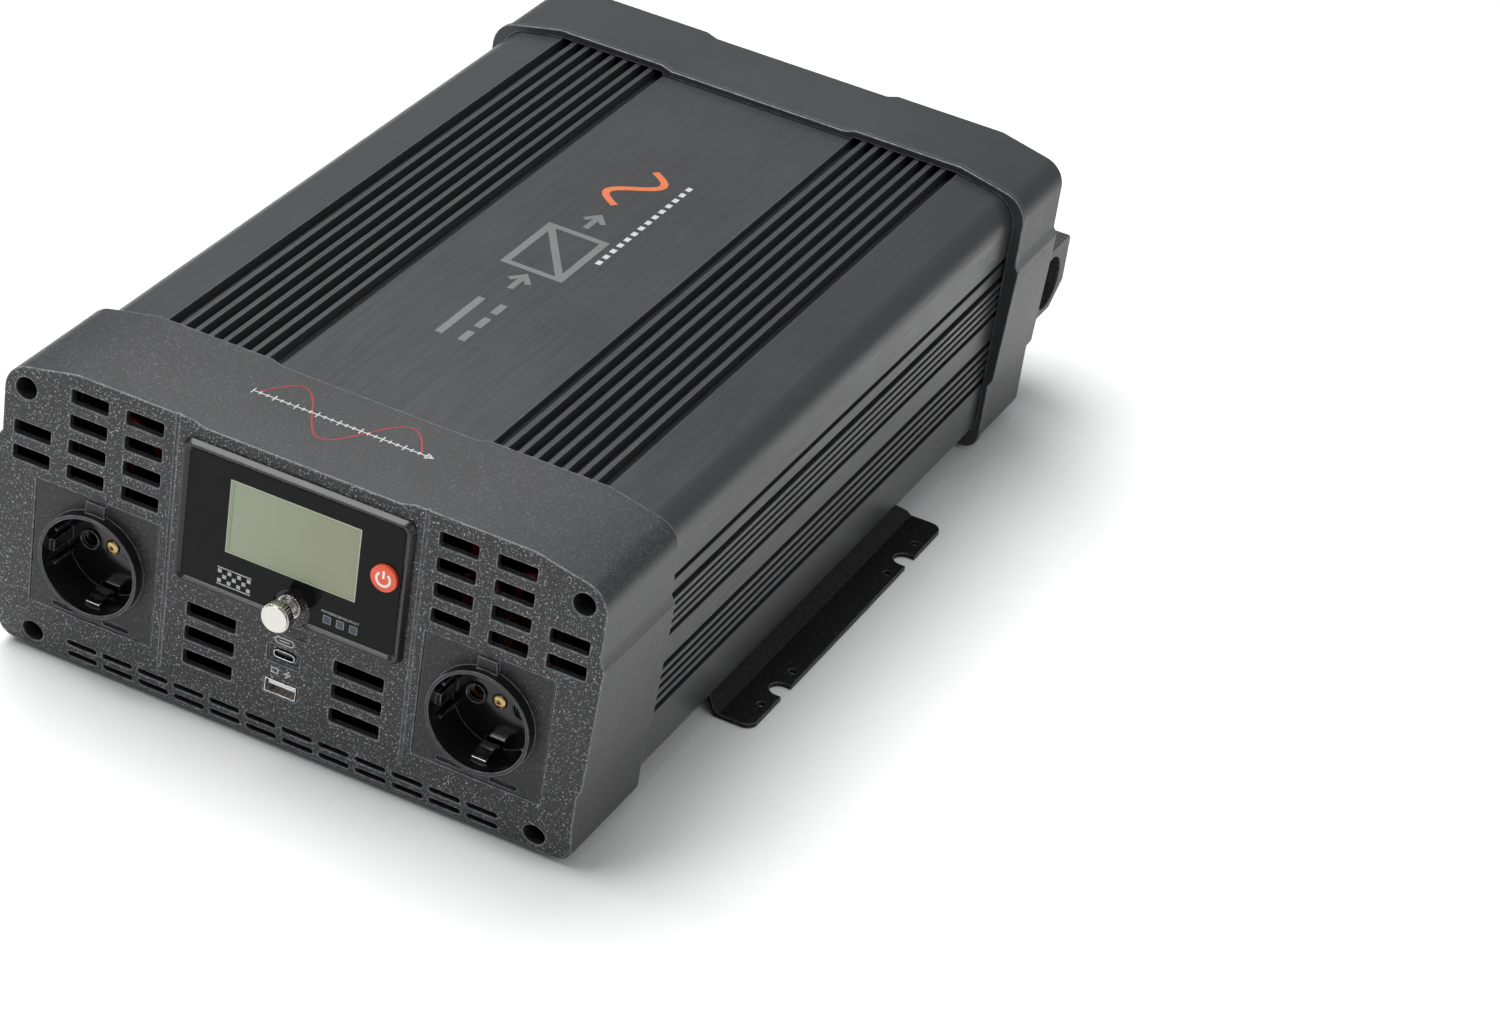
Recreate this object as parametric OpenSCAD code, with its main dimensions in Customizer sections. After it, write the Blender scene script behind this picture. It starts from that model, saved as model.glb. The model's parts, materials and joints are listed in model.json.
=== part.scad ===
/* [Case] */
// Widest size across the end caps
case_w = 251.6; // [240:0.1:305]
// Height of the end caps at their outer top sections, above the floor
case_h = 126.6; // [120:0.1:155]
// Length of the case from the front face to the rear face of the rear cap
case_l = 412; // [380:1:500]
// Depth of the front bezel
bezel_l = 55; // [45:1:70]
// Depth of the rear cap
cap_l = 44; // [38:1:60]
// Wall of the moulded end caps
cap_wall = 2.6; // [2:0.1:3.2]
// Thickness of the front face
face_t = 3; // [2.4:0.1:3.6]
// Overlap of each end cap over the extrusion
lap = 7; // [5:0.5:10]
// Clearance between moulded and extruded pieces
fit_gap = 0.2; // [0.1:0.05:0.4]

/* [Extrusion] */
// Wall of the extrusion behind its deepest groove
ext_wall = 2.5; // [2:0.1:4]
// Half width of the flat centre panel
panel_x = 44; // [38:0.5:50]
// Number of ribs beside the centre panel
top_ribs = 7; // [5:1:9]
// Width of a rib
rib_w = 2.2; // [1.6:0.1:2.8]
// Depth of the top grooves
top_groove = 5; // [3:0.5:6]
// Depth of the side grooves
side_groove = 3; // [2:0.5:4]

/* [Front face] */
// Side of the square socket inserts
plate = 52.5; // [42:0.5:56]
// Distance from the widest side of the case to a socket insert
plate_side = 17.8; // [16:0.1:24]
// Height of the socket inserts' lower edge
plate_z = 25.2; // [24:0.1:34]
// Gap between the display frame and the socket inserts
display_gap = 7.7; // [6:0.1:12]
// Height of the display frame
display_h = 60.4; // [56:0.1:72]
// Size of the LCD window, across and up
lcd = [53.6, 30.2];
// Width and height of a vent slot
vent = [15.8, 6];
// Spacing of the vent slots, across and down
vent_pitch = [23.3, 10.6];
// Radius of the power button
button_r = 5.4; // [4.5:0.1:5.8]
// Travel of the power button
button_travel = 0.8; // [0.5:0.1:1]

/* [Socket] */
// Radius of the plug recess
recess_r = 19.6; // [18.5:0.1:20.5]
// Depth of the plug recess from the ring's front
recess_d = 17.5; // [14:0.5:18]
// Wall of the raised ring
ring_wall = 1.5; // [1:0.1:2.5]
// Height of the raised ring above the face
ring_h = 4.6; // [3:0.1:6]
// Spacing of the two contact pins
pin_pitch = 19; // [16:0.5:22]
// Radius of a contact's bore
pin_bore = 2.45; // [2.4:0.05:3]

/* [Mounting bracket] */
// Length of a bracket
bracket_l = 180; // [150:1:220]
// Start of a bracket behind the front face
bracket_y = 123; // [90:1:150]
// Thickness of the bracket sheet
sheet = 2; // [1.5:0.1:3]
// Reach of the floor flange outside the case's widest point
flange_out = 10.7; // [8:0.1:20]
// Distance between a bracket's two slots
slot_pitch = 116.5; // [100:0.5:130]
// Width of a slot
slot_w = 9; // [7:0.1:10]
// Depth of a slot from the flange's outer edge
slot_d = 7; // [5:0.1:7.5]
// Radius of the small holes beside the slots
hole_r = 1.6; // [1.2:0.1:2]

/* [Rear] */
// Outer size of a fan
fan = 60; // [50:1:66]
// Depth of a fan
fan_d = 15; // [10:1:20]
// Distance of a fan's axis from the middle
fan_x = 35; // [34:0.5:37]
// Size of a terminal housing: across, back, up
housing = [47.5, 40, 31.5];
// Radius of the bolt recess in a terminal housing
port_r = 12; // [11:0.1:13]
// Travel of a terminal bolt from clamped to free
bolt_travel = 5; // [3:0.5:6]

/* [Hidden] */
$fn = 48;
eps = 0.01;

// Cap outline: half widths of the stepped side, from the upper side to the foot
side_mid = case_w / 2;
side_up = side_mid - 1.8;
side_low = side_mid - 2.1;
side_foot = side_mid - 3.8;
cap_bottom = 3;
cap_mid = case_h - 1.6;         // the sunk centre section
shoulder_x = side_mid - 31.9;   // where the top turns down
shoulder_a = 12.2;              // slope of the shoulder
corner_r = 11;
foot_r = 6;
step_z = case_h - 34.2;         // upper edge of the side step
step_h = 3.2;
foot_z = 33.6;                  // upper edge of the foot's step
break_z = 18.4;                 // where the face starts to slant back
band_y = 3.2;                   // how far the slanted band runs back

// Extrusion
ext_side = side_up - 4;
ext_top = case_h - 2.5;
ext_mid = ext_top - 1.2;
ext_bottom = 10.5;
ext_y0 = bezel_l - lap;
ext_y1 = case_l - cap_l + lap;
rib_end = side_mid - 33.4;      // outer end of the top ribs
ext_crease = [side_mid - 17.8, ext_top - 3.1];
ext_corner_r = 12.6;
ext_foot_r = 4;
flange_t = 2.5;
flange_in = 97;
side_a = [case_h - 60.2, case_h - 32.1];   // upper grooved band
side_b = [34.1, case_h - 71.5];            // lower grooved band
band_broad = 9.2;               // broad rib at the top of the upper band
broad_low = 0.6;                // how far it lies below the side
broad_gap = 3.6;                // groove above it

// Screws that hold the caps
screw_up = [side_mid - 11, case_h - 13.5];
screw_low = [side_mid - 19, 10.2];
screw_r = 1.9;
head_r = 3.8;
well_r = 4.5;
well_d = 26;
boss_r = 4.5;
lug = 5.6;                      // half width of a lug on the base plate
lug_l = 11;                     // length of a lug

// Front face layout
plate_x = side_mid - plate_side - plate / 2;
plate_c = plate_z + plate / 2;
display_x = plate_x - plate / 2 - display_gap;
display_top = case_h - 6.9;
display_z = display_top - display_h;
rim = 3.4;                      // width of the display frame
rim_h = 2.6;                    // height of the display frame
lens_y = -1.2;                  // front of the lens
lcd_c = [0, display_z + display_h - 10.5 - lcd[1] / 2];
button_c = [display_x - 9.9, lcd_c[1] - 0.2];
button_gap = 0.3;               // clearance round the button
press_gap = 0.6;                // clearance behind the pressed button
led_x = [for (i = [0:2]) 16.7 + 5.45 * i];
led_z = display_z + 7.9;
led = 2.8;
ground = [2, display_z + 8.6];
ground_notch = 7.6;
groove_x = display_x + 2.8;
vent_x = [for (i = [-1:1]) plate_x + 6.1 + i * vent_pitch[0]];
vent_top = case_h - 6.4;
low_vent = [20.9, 6.1];
low_vent_x = 31;
low_vent_top = plate_z + 25.7;
low_pitch = 10.3;
foot_slots = 12;
foot_slot = [12.9, 2.6];
foot_pitch = 15.5;
usb_c = [0, plate_z + 18.5];
usb_a = [0, plate_z + 4.3];
board_y = 9;                    // front of the display board

// Rear layout
rear_y = case_l;
cap_y = case_l - cap_l;
fan_z = case_h / 2 + 2;
fan_y = rear_y - 3 - fan_d;
fan_bore = fan / 2 - 1.5;
fan_hole = fan / 2 - 5;         // half spacing of the fan's screws
hub_r = 12;
blades = 7;
housing_x = side_mid - 6.3;     // outer face of a terminal housing
housing_z = case_h - 87.6;
housing_wall = 2.5;
bolt_y = rear_y + 21;
bolt_z = housing_z + 15;
block_x = housing_x - 17;       // clamping face of the brass block
bolt_r = 4;
washer_t = 1.5;

// Bracket
flange_x = side_mid + flange_out;
bend_x = ext_side + 2;
tab_x = [ext_side - 22, ext_side - 10];
tab_c = (tab_x[0] + tab_x[1]) / 2;
bracket_screw_r = 2;
slot_y = [for (i = [-1, 1]) bracket_y + bracket_l / 2 - 1.5 + i * slot_pitch / 2];
hole_side = 13.9;
hole_x = flange_x - 4;

// Inside
board_z = 24;
board_t = 1.6;
deck = board_z + board_t;
plate_t = 2;
board_x = ext_side - 14;
board_y0 = ext_y0 + 14;
board_y1 = ext_y1 - 30;

// The origin is the middle of the whole piece on the floor
ground_reach = 13.6;
datum = [0, -(rear_y + housing[1] - ground_reach) / 2, 0];

function arc(c, r, a0, a1, n) = [
  for (i = [0:n]) let (a = a0 + (a1 - a0) * i / n) c + r * [cos(a), sin(a)]
];
function both(half) = concat(half, [for (i = [len(half) - 1:-1:0]) [-half[i][0], half[i][1]]]);
// Rectangle with round corners, each turned in n steps
function rounded(w, h, r, n = 3) = [
  for (q = [[1, 1, 0], [-1, 1, 90], [-1, -1, 180], [1, -1, 270]])
    each arc([q[0] * (w / 2 - r), q[1] * (h / 2 - r)], r, q[2], q[2] + 90, n)
];
function knurl(r, depth, n) = [
  for (i = [0:2 * n - 1]) (r - (i % 2) * depth) * [cos(180 * i / n), sin(180 * i / n)]
];
// Height of the shoulder line at x
function shoulder(x, top, d) = top - d - max(0, x - shoulder_x) * tan(shoulder_a);

// Outline of the end caps, drawn in by d
function cap_outline(d) =
  let (
    a = 90 - shoulder_a,
    cx = side_up - corner_r,
    cz = shoulder(cx + corner_r * cos(a), case_h, 0) - corner_r * sin(a)
  )
  both(concat(
    [[panel_x - 3.6, cap_mid - d], [panel_x + 1.4, case_h - d], [shoulder_x, case_h - d]],
    arc([cx, cz], corner_r - d, a, 0, 8),
    [[side_up - d, step_z], [side_mid - d, step_z - step_h]],
    [[side_low - d, foot_z + step_h], [side_foot - d, foot_z]],
    arc([side_foot - foot_r, cap_bottom + foot_r], foot_r - d, 0, -90, 5)
  ));

// Outline of the extrusion without its grooves, grown by g
function ext_outline(g) =
  let (c = [ext_side - ext_corner_r, ext_crease[1] - ext_corner_r * 0.97])
  both(concat(
    [[panel_x + 0.4, ext_mid + g], [panel_x + 0.4, ext_top + g], [rib_end, ext_top + g]],
    arc(c, ext_corner_r + g, 74, 0, 8),
    arc([ext_side - ext_foot_r, ext_bottom + ext_foot_r], ext_foot_r + g, 0, -90, 4)
  ));

module along_y(y, l) { translate([0, y + l, 0]) rotate([90, 0, 0]) linear_extrude(l) children(); }
module along_x(x, l) { translate([x, 0, 0]) rotate([90, 0, 90]) linear_extrude(l) children(); }
module y_rod(x, z, y, l, r) { translate([x, y, z]) rotate([-90, 0, 0]) cylinder(h = l, r = r); }
module x_rod(x, y, z, l, r) { translate([x, y, z]) rotate([0, 90, 0]) cylinder(h = l, r = r); }
module block(lo, hi) { translate(lo) cube(hi - lo); }
module pair() { for (s = [0, 1]) mirror([s, 0, 0]) children(); }
module at(s) { if (s < 0) mirror([1, 0, 0]) children(); else children(); }

// Points of a smooth curve through p, n to a span
function curve(p, n) = let (last = len(p) - 1) concat([
  for (i = [0:last - 1]) for (k = [0:n - 1])
    let (t = k / n, a = p[max(i - 1, 0)], b = p[i], c = p[i + 1], d = p[min(i + 2, last)])
      b + t * (c - a) / 2 + t * t * (a - 2.5 * b + 2 * c - d / 2) + t * t * t * ((3 * b - 3 * c + d - a) / 2)
], [p[last]]);

// A wire of radius r along the path q, which never runs along X
module wire(q, r) {
  sides = 8;
  last = len(q) - 1;
  rings = [
    for (i = [0:last])
      let (
        t = q[min(i + 1, last)] - q[max(i - 1, 0)],
        w = cross(t, [1, 0, 0]), u = w / norm(w), v = cross(t, u) / norm(t)
      )
        for (k = [0:sides - 1]) q[i] + r * (cos(360 * k / sides) * u + sin(360 * k / sides) * v)
  ];
  polyhedron(rings, concat(
    [[for (k = [0:sides - 1]) k]],
    [[for (k = [0:sides - 1]) last * sides + sides - 1 - k]],
    [for (i = [0:last - 1]) for (k = [0:sides - 1])
      let (a = i * sides + k, b = i * sides + (k + 1) % sides) [a, a + sides, b + sides, b]]
  ));
}

// ---- enclosure ----
module ext_ribs_cut() {
  step = (rib_end - panel_x) / (top_ribs + 1);
  pair() difference() {
    translate([panel_x, ext_top - top_groove]) square([rib_end - panel_x, top_groove + 2]);
    for (i = [1:top_ribs])
      translate([panel_x + i * step - rib_w / 2, ext_top - top_groove - 1]) square([rib_w, top_groove + 4]);
  }
}

module side_band_cut(z, ribs, broad) {
  first = z[1] - broad;
  pitch = (first - z[0]) / (ribs + 1);
  pair() difference() {
    translate([ext_side - side_groove, z[0]]) square([side_groove + 2, z[1] - z[0]]);
    for (i = [1:ribs])
      translate([ext_side - side_groove - 1, z[0] + i * pitch - rib_w / 2]) square([side_groove + 4, rib_w]);
    if (broad > 0)
      translate([ext_side - side_groove - 1, first]) square([side_groove + 1 - broad_low, broad - broad_gap]);
  }
}

module ext_section() {
  in_x = ext_side - side_groove - ext_wall;
  in_z = ext_top - top_groove - ext_wall;
  difference() {
    polygon(ext_outline(0));
    difference() {
      polygon(both([[in_x - 9, in_z], [in_x, in_z - 9], [in_x, ext_bottom + flange_t]]));
      pair() translate(screw_up) circle(r = boss_r);
    }
    translate([-flange_in, ext_bottom - 1]) square([2 * flange_in, flange_t + 2]);
    ext_ribs_cut();
    side_band_cut(side_a, 4, band_broad);
    side_band_cut(side_b, 4, 0);
    pair() translate(screw_up) circle(r = screw_r + 0.1);
  }
}

module body_extrusion() {
  color("#3a3b3d") difference() {
    along_y(ext_y0, ext_y1 - ext_y0) ext_section();
    pair() for (y = bracket_screw_y())
      translate([tab_c, y, ext_bottom - 1]) cylinder(h = flange_t + 2, r = bracket_screw_r + 0.1);
  }
}

module base_plate() {
  in_x = ext_side - side_groove - ext_wall - fit_gap;
  z = ext_bottom + flange_t;
  y0 = ext_y0 - lug_l;
  y1 = ext_y1 + lug_l;
  color("#2b2c2e") difference() {
    union() {
      block([-in_x, y0, z], [in_x, y1, z + plate_t]);
      // lugs that the lower screws hold
      pair() for (y = [y0, y1 - lug_l + fit_gap])
        block([screw_low[0] - lug, y, cap_bottom + cap_wall + 2 * fit_gap],
          [screw_low[0] + lug, y + lug_l - fit_gap, z + plate_t]);
    }
    pair() y_rod(screw_low[0], screw_low[1], y0 - 1, y1 - y0 + 2, screw_r + 0.1);
    for (x = [-60:20:60]) for (y = [ext_y0 + 40:26:ext_y0 + 120])
      translate([x, y, z - 1]) cylinder(h = plate_t + 2, r = 2.4, $fn = 24);
  }
}

module band_wedge(y) {
  along_x(-case_w, 2 * case_w)
    polygon([[y - 20, break_z], [y, break_z], [y + band_y, cap_bottom], [y + band_y, -10], [y - 20, -10]]);
}

module cap_shell(y0, l, front) {
  inner0 = front ? y0 + face_t : y0 + lap;
  inner1 = front ? y0 + l - lap : y0 + l - face_t;
  difference() {
    along_y(y0, l) polygon(cap_outline(0));
    difference() {
      along_y(inner0, inner1 - inner0) polygon(cap_outline(cap_wall));
      if (front) band_wedge(face_t);
    }
    along_y(front ? inner1 - eps : y0 - 1, lap + 1) polygon(ext_outline(fit_gap));
    if (front) band_wedge(0);
  }
}

module vent_shapes() {
  pair() {
    for (c = [0:2]) for (r = [0:3]) if (c < 2 || r > 1)
      translate([vent_x[c], vent_top - vent[1] / 2 - r * vent_pitch[1]])
        polygon(rounded(vent[0], vent[1], 0.8));
    for (r = [0:2])
      translate([low_vent_x, low_vent_top - low_vent[1] / 2 - r * low_pitch])
        polygon(rounded(low_vent[0], low_vent[1], 0.8));
  }
}

module screw_wells(y, dir) {
  pair() for (p = [screw_up, screw_low]) {
    y_rod(p[0], p[1], dir > 0 ? y - 1 : y - well_d, well_d + 1, well_r);
    y_rod(p[0], p[1], dir > 0 ? y : y - 40, 40, screw_r + 0.2);
  }
}

module screw_posts(y0, l) {
  intersection() {
    along_y(y0, l) polygon(cap_outline(cap_wall / 2));
    pair() for (p = [screw_up, screw_low]) y_rod(p[0], p[1], y0, l, well_r + 2);
  }
}

module front_bezel() {
  post_l = ext_y0 - lug_l - fit_gap - face_t;
  color("#2e2f31") difference() {
    union() {
      cap_shell(0, bezel_l, true);
      screw_posts(face_t, post_l);
    }
    band_wedge(0);
    along_y(-1, face_t + 2) vent_shapes();
    along_y(-1, face_t + 2) pair() translate([plate_x, plate_c]) square(plate + 2 * fit_gap, center = true);
    // window behind the display
    along_y(-1, face_t + 2) translate(lcd_c) square([lcd[0] + 4, lcd[1] + 3], center = true);
    y_rod(button_c[0], button_c[1], -1, face_t + 2, 2.6);
    // seat that the pressed button sinks into
    y_rod(button_c[0], button_c[1], -1, 1 + button_travel + press_gap, button_r + button_gap);
    block([led_x[0] - 4, -1, led_z - 3], [led_x[2] + 4, face_t + 1, led_z + 3]);
    y_rod(ground[0], ground[1], -1, face_t + 2, 3.2);
    // sunk seat under the ground terminal
    along_y(-1, 2) translate([ground[0] + 1, display_z - 4]) polygon(rounded(14, 4.4, 2));
    // ports
    along_y(-1, 2.4) translate(usb_c) polygon(rounded(13.6, 7.4, 0.8));
    along_y(-1, face_t + 2) translate(usb_c) polygon(rounded(9.5, 3.8, 1.85));
    along_y(-1, face_t + 2) translate(usb_a) polygon(rounded(13.9, 6.5, 0.4));
    // fine grooves beside the centre panel
    pair() block([groove_x, -1, break_z], [groove_x + 1, 0.7, case_h + 1]);
    // small slots in the slanted band
    for (i = [0:foot_slots - 1]) for (z = [4.9, 10.4])
      along_y(-1, face_t + band_y + 2)
        translate([(i - (foot_slots - 1) / 2) * foot_pitch, z + foot_slot[1] / 2])
          polygon(rounded(foot_slot[0], foot_slot[1], 1));
    screw_wells(0, 1);
  }
}

module rear_cap() {
  post_y = ext_y1 + lug_l + fit_gap;
  color("#2e2f31") difference() {
    union() {
      cap_shell(cap_y, cap_l, false);
      // rolled lip
      difference() {
        along_y(cap_y, 2.6) polygon(cap_outline(-0.9));
        along_y(cap_y - 1, 4) polygon(cap_outline(1));
      }
      screw_posts(post_y, rear_y - face_t - post_y);
    }
    pair() y_rod(fan_x, fan_z, rear_y - face_t - 1, face_t + 2, fan_bore);
    pair() for (a = [-1, 1]) for (b = [-1, 1])
      y_rod(fan_x + a * fan_hole, fan_z + b * fan_hole, rear_y - face_t - 1, face_t + 2, 1.7);
    for (i = [-5:5]) along_y(rear_y - face_t - 1, face_t + 2)
      translate([i * 9, 19]) polygon(rounded(4, 14, 1));
    // busbar passages into the terminal housings
    pair() block([block_x - 20, rear_y - face_t - 1, bolt_z - 8], [block_x - 5, rear_y + 1, bolt_z + 8]);
    screw_wells(rear_y, -1);
  }
}

module cap_screw(x, z, head_y, dir, l) {
  translate([x, head_y, z]) rotate([dir > 0 ? -90 : 90, 0, 0]) difference() {
    union() {
      cylinder(h = 3, r = head_r);
      cylinder(h = 3 + l, r = screw_r);
    }
    for (a = [0, 90]) rotate([0, 0, a]) translate([-2.2, -0.5, -1]) cube([4.4, 1, 2.6]);
  }
}

module front_screws() {
  color("#77787a") pair() {
    cap_screw(screw_up[0], screw_up[1], well_d - 3, 1, ext_y0 + 14 - well_d);
    cap_screw(screw_low[0], screw_low[1], well_d - 3, 1, ext_y0 - well_d - 1);
  }
}

module rear_screws() {
  color("#77787a") pair() {
    cap_screw(screw_up[0], screw_up[1], rear_y - well_d + 3, -1, rear_y - well_d - ext_y1 + 14);
    cap_screw(screw_low[0], screw_low[1], rear_y - well_d + 3, -1, rear_y - well_d - ext_y1 - 1);
  }
}

// ---- display ----
module display_rect(inset, y, t) {
  translate([0, 0, display_z + display_h / 2])
    along_y(y, t) polygon(rounded(2 * (display_x - inset), display_h - 2 * inset, 4 - inset * 0.5, 8));
}

module display_frame() {
  color("#242527") difference() {
    hull() {
      display_rect(0, -0.6, 0.6);
      display_rect(1.2, -rim_h, 0.2);
    }
    display_rect(rim, -rim_h - 1, rim_h + 2);
    hull() {
      display_rect(rim, lens_y - 0.2, 0.2);
      display_rect(rim - 1.4, -rim_h - 0.1, 0.1);
    }
    y_rod(ground[0], ground[1] - 2, -rim_h - 1, rim_h + 2, ground_notch);
  }
}

module display_lens() {
  color("#0c0d0e") difference() {
    display_rect(rim + 0.15, lens_y, -lens_y);
    y_rod(ground[0], ground[1] - 2, lens_y - 1, 4, ground_notch);
    y_rod(button_c[0], button_c[1], lens_y - 1, 4, button_r + button_gap);
    along_y(lens_y - 1, 4) translate(lcd_c) square([lcd[0] + 0.2, lcd[1] + 0.2], center = true);
    for (x = led_x) along_y(lens_y - 1, 4) translate([x, led_z]) square(led + 0.2, center = true);
  }
}

module lcd_panel() {
  color("#9aa284") along_y(lens_y + 0.15, board_y - lens_y - 0.35)
    translate(lcd_c) square(lcd, center = true);
}

module status_leds() {
  color("#3b4a63") for (x = led_x)
    along_y(lens_y - 0.1, 3.4) translate([x, led_z]) square(led, center = true);
}

module power_button() {
  color("#e8563a") {
    y_rod(button_c[0], button_c[1], lens_y - 1.4, 1.4 + 1.2, button_r);
    y_rod(button_c[0], button_c[1], lens_y + 1.2, board_y - 3.6 - lens_y - 1.2 - button_travel, 1.8);
  }
}

module button_switch() {
  color("#2a2a2a") along_y(board_y - 3.4, 3.4) translate(button_c) square(6, center = true);
}

module display_board() {
  color("#1f5a38") difference() {
    block([-display_x + 3, board_y, display_z + rim], [display_x - 3, board_y + 1.6, display_top - 3]);
    y_rod(ground[0], ground[1], board_y - 1, 4, 5);
  }
}

// ---- mains sockets ----
module socket() {
  front = 0.3;
  floor_y = -ring_h + recess_d;
  c = [plate_x, plate_c];
  color("#1b1c1d") difference() {
    union() {
      along_y(front, 3.2) translate(c) square(plate, center = true);
      y_rod(c[0], c[1], -ring_h, floor_y + ring_h + 2.4, recess_r + ring_wall);
      // raised tab above the ring
      block([c[0] - 4, -1.6, c[1] + recess_r], [c[0] + 4, front + 1, plate_z + plate - 0.4]);
    }
    difference() {
      y_rod(c[0], c[1], -ring_h - 1, recess_d + 1, recess_r);
      // guide noses
      for (s = [-1, 1]) let (x = c[0] + s * recess_r)
        block([x - 2.2, 0.6, c[1] - 2.4], [x + 2.2, floor_y + 1, c[1] + 2.4]);
    }
    for (s = [-1, 1]) y_rod(c[0] + s * pin_pitch / 2, c[1], floor_y - 1, 6, pin_bore + 0.55);
    // earth clip windows
    for (s = [-1, 1]) let (z = c[1] + s * (recess_r - 1.4))
      block([c[0] - 3.5, floor_y - 1, z - 2], [c[0] + 3.5, floor_y + 4, z + 2]);
    // latch slots at the lower edge
    for (s = [-1, 1])
      block([c[0] + s * 11 - 5.5, -1, plate_z + 1.2], [c[0] + s * 11 + 5.5, 1.4, plate_z + 3]);
    y_rod(c[0], c[1], floor_y - 1, 6, 1.7);
  }
}

module contacts() {
  y = -ring_h + recess_d + 2.6;
  color("#b89a56") for (s = [-1, 1]) let (x = plate_x + s * pin_pitch / 2) difference() {
    union() {
      y_rod(x, plate_c, y, 15, pin_bore + 1.1);
      block([x - 2, y + 15 - eps, plate_c - 0.6], [x + 2, y + 22, plate_c + 0.6]);
    }
    y_rod(x, plate_c, y - 1, 14, pin_bore);
  }
}

module earth_clips() {
  y1 = -ring_h + recess_d + 2.6;
  r = recess_r - 0.3;
  color("#c9cacc") for (s = [0, 1]) translate([plate_x, 0, plate_c]) mirror([0, 0, s])
    along_x(-3, 6) polygon([
      [1.2, r], [1.2, r - 0.9], [6, r - 3.1], [y1 - 4, r - 2.2], [y1 - 4, r - 0.9], [y1 + 4, r - 0.9],
      [y1 + 4, r - 0.1], [y1 - 5, r - 0.1], [y1 - 5, r - 1.3], [6, r - 2.1], [2, r - 0.2], [2, r]
    ]);
}

// ---- ports ----
module usb_c_shell() {
  color("#b9bbbe") along_y(0.5, 8) translate(usb_c) difference() {
    polygon(rounded(8.94, 3.26, 1.6));
    polygon(rounded(8.3, 2.62, 1.28));
  }
}

module usb_c_tongue() {
  color("#17181a") {
    along_y(1.4, 5.6) translate(usb_c) square([6.7, 0.7], center = true);
    along_y(7, 1.5) translate(usb_c) polygon(rounded(8.1, 2.4, 1.1));
  }
}

module usb_a_shell() {
  color("#c2c3c5") {
    along_y(-0.2, 10.4) translate(usb_a) difference() {
      square([13.1, 5.7], center = true);
      square([12.5, 5.1], center = true);
    }
  }
}

module usb_a_tongue() {
  color("#e9eaea") {
    along_y(1, 9.2) translate(usb_a + [0, 1.1]) square([11.1, 1.9], center = true);
    along_y(9, 1.2) translate(usb_a) square([12.3, 4.9], center = true);
  }
}

module port_board() {
  color("#1f5a38") block([-14, 10.3, usb_a[1] - 5], [14, 11.9, usb_c[1] + 5]);
}

// ---- ground terminal ----
module ground_post() {
  color("#c9c8c4") difference() {
    union() {
      along_y(-3.4, 3.4) translate(ground) polygon(knurl(4.9, 0.35, 24));
      y_rod(ground[0], ground[1], -eps, 7, 3);
    }
    y_rod(ground[0], ground[1], -4.4, 10.4, 2.1);
  }
}

module ground_washer() {
  color("#d3d2cf") difference() {
    y_rod(ground[0], ground[1], -4.5, 1, 4.4);
    y_rod(ground[0], ground[1], -5, 2, 2.3);
  }
}

module ground_screw() {
  color("#d6d5d2") {
    y_rod(ground[0], ground[1], -8.6, 14, 2);
    y_rod(ground[0], ground[1], -9.2, 4.6, 3);
    along_y(-ground_reach + 0.8, 3.6) translate(ground) polygon(knurl(5.9, 0.3, 32));
    y_rod(ground[0], ground[1], -ground_reach, ground_reach - 9.4, 5.3);
  }
}

// ---- brackets ----
module bracket() {
  web = [
    [tab_x[1], ext_bottom], [bend_x, sheet], [flange_x, sheet], [flange_x, 0], [bend_x - 1.4, 0],
    [tab_x[1] - 1.2, ext_bottom - sheet], [tab_x[0], ext_bottom - sheet], [tab_x[0], ext_bottom]
  ];
  y0 = bracket_y;
  y1 = bracket_y + bracket_l;
  color("#1d1e1f") difference() {
    along_y(y0, bracket_l) polygon(web);
    // tapered web ends
    for (e = [[y0, 1], [y1, -1]]) translate([0, e[0], -1])
      linear_extrude(20) polygon([
        [tab_x[0] - 1, -e[1]], [bend_x - 1, -e[1]], [tab_x[1] - 4, e[1] * 12], [tab_x[0] - 1, e[1] * 12]
      ]);
    // rounded flange corners
    for (e = [[y0, 1], [y1, -1]]) translate([flange_x - 5, e[0] + 5 * e[1], -1]) difference() {
      translate([0, e[1] > 0 ? -6 : 0, 0]) cube([6, 6, 5]);
      cylinder(h = 5, r = 5);
    }
    for (y = slot_y) {
      translate([flange_x - slot_d + slot_w / 2, y, -1]) cylinder(h = 5, r = slot_w / 2);
      block([flange_x - slot_d + slot_w / 2, y - slot_w / 2, -1], [flange_x + 1, y + slot_w / 2, 4]);
      for (s = [-1, 1]) translate([hole_x, y + s * hole_side, -1]) cylinder(h = 5, r = hole_r);
    }
    for (y = bracket_screw_y()) translate([tab_c, y, 0]) cylinder(h = 20, r = bracket_screw_r + 0.2);
  }
}

function bracket_screw_y() = [for (i = [-1:1]) bracket_y + bracket_l / 2 + i * bracket_l / 3];

module bracket_screws() {
  color("#8b8c8e") pair() for (y = bracket_screw_y()) translate([tab_c, y, ext_bottom - sheet - 2]) {
    cylinder(h = 2, r = 3.6);
    cylinder(h = 2 + sheet + flange_t - 0.2, r = bracket_screw_r);
  }
}

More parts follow.
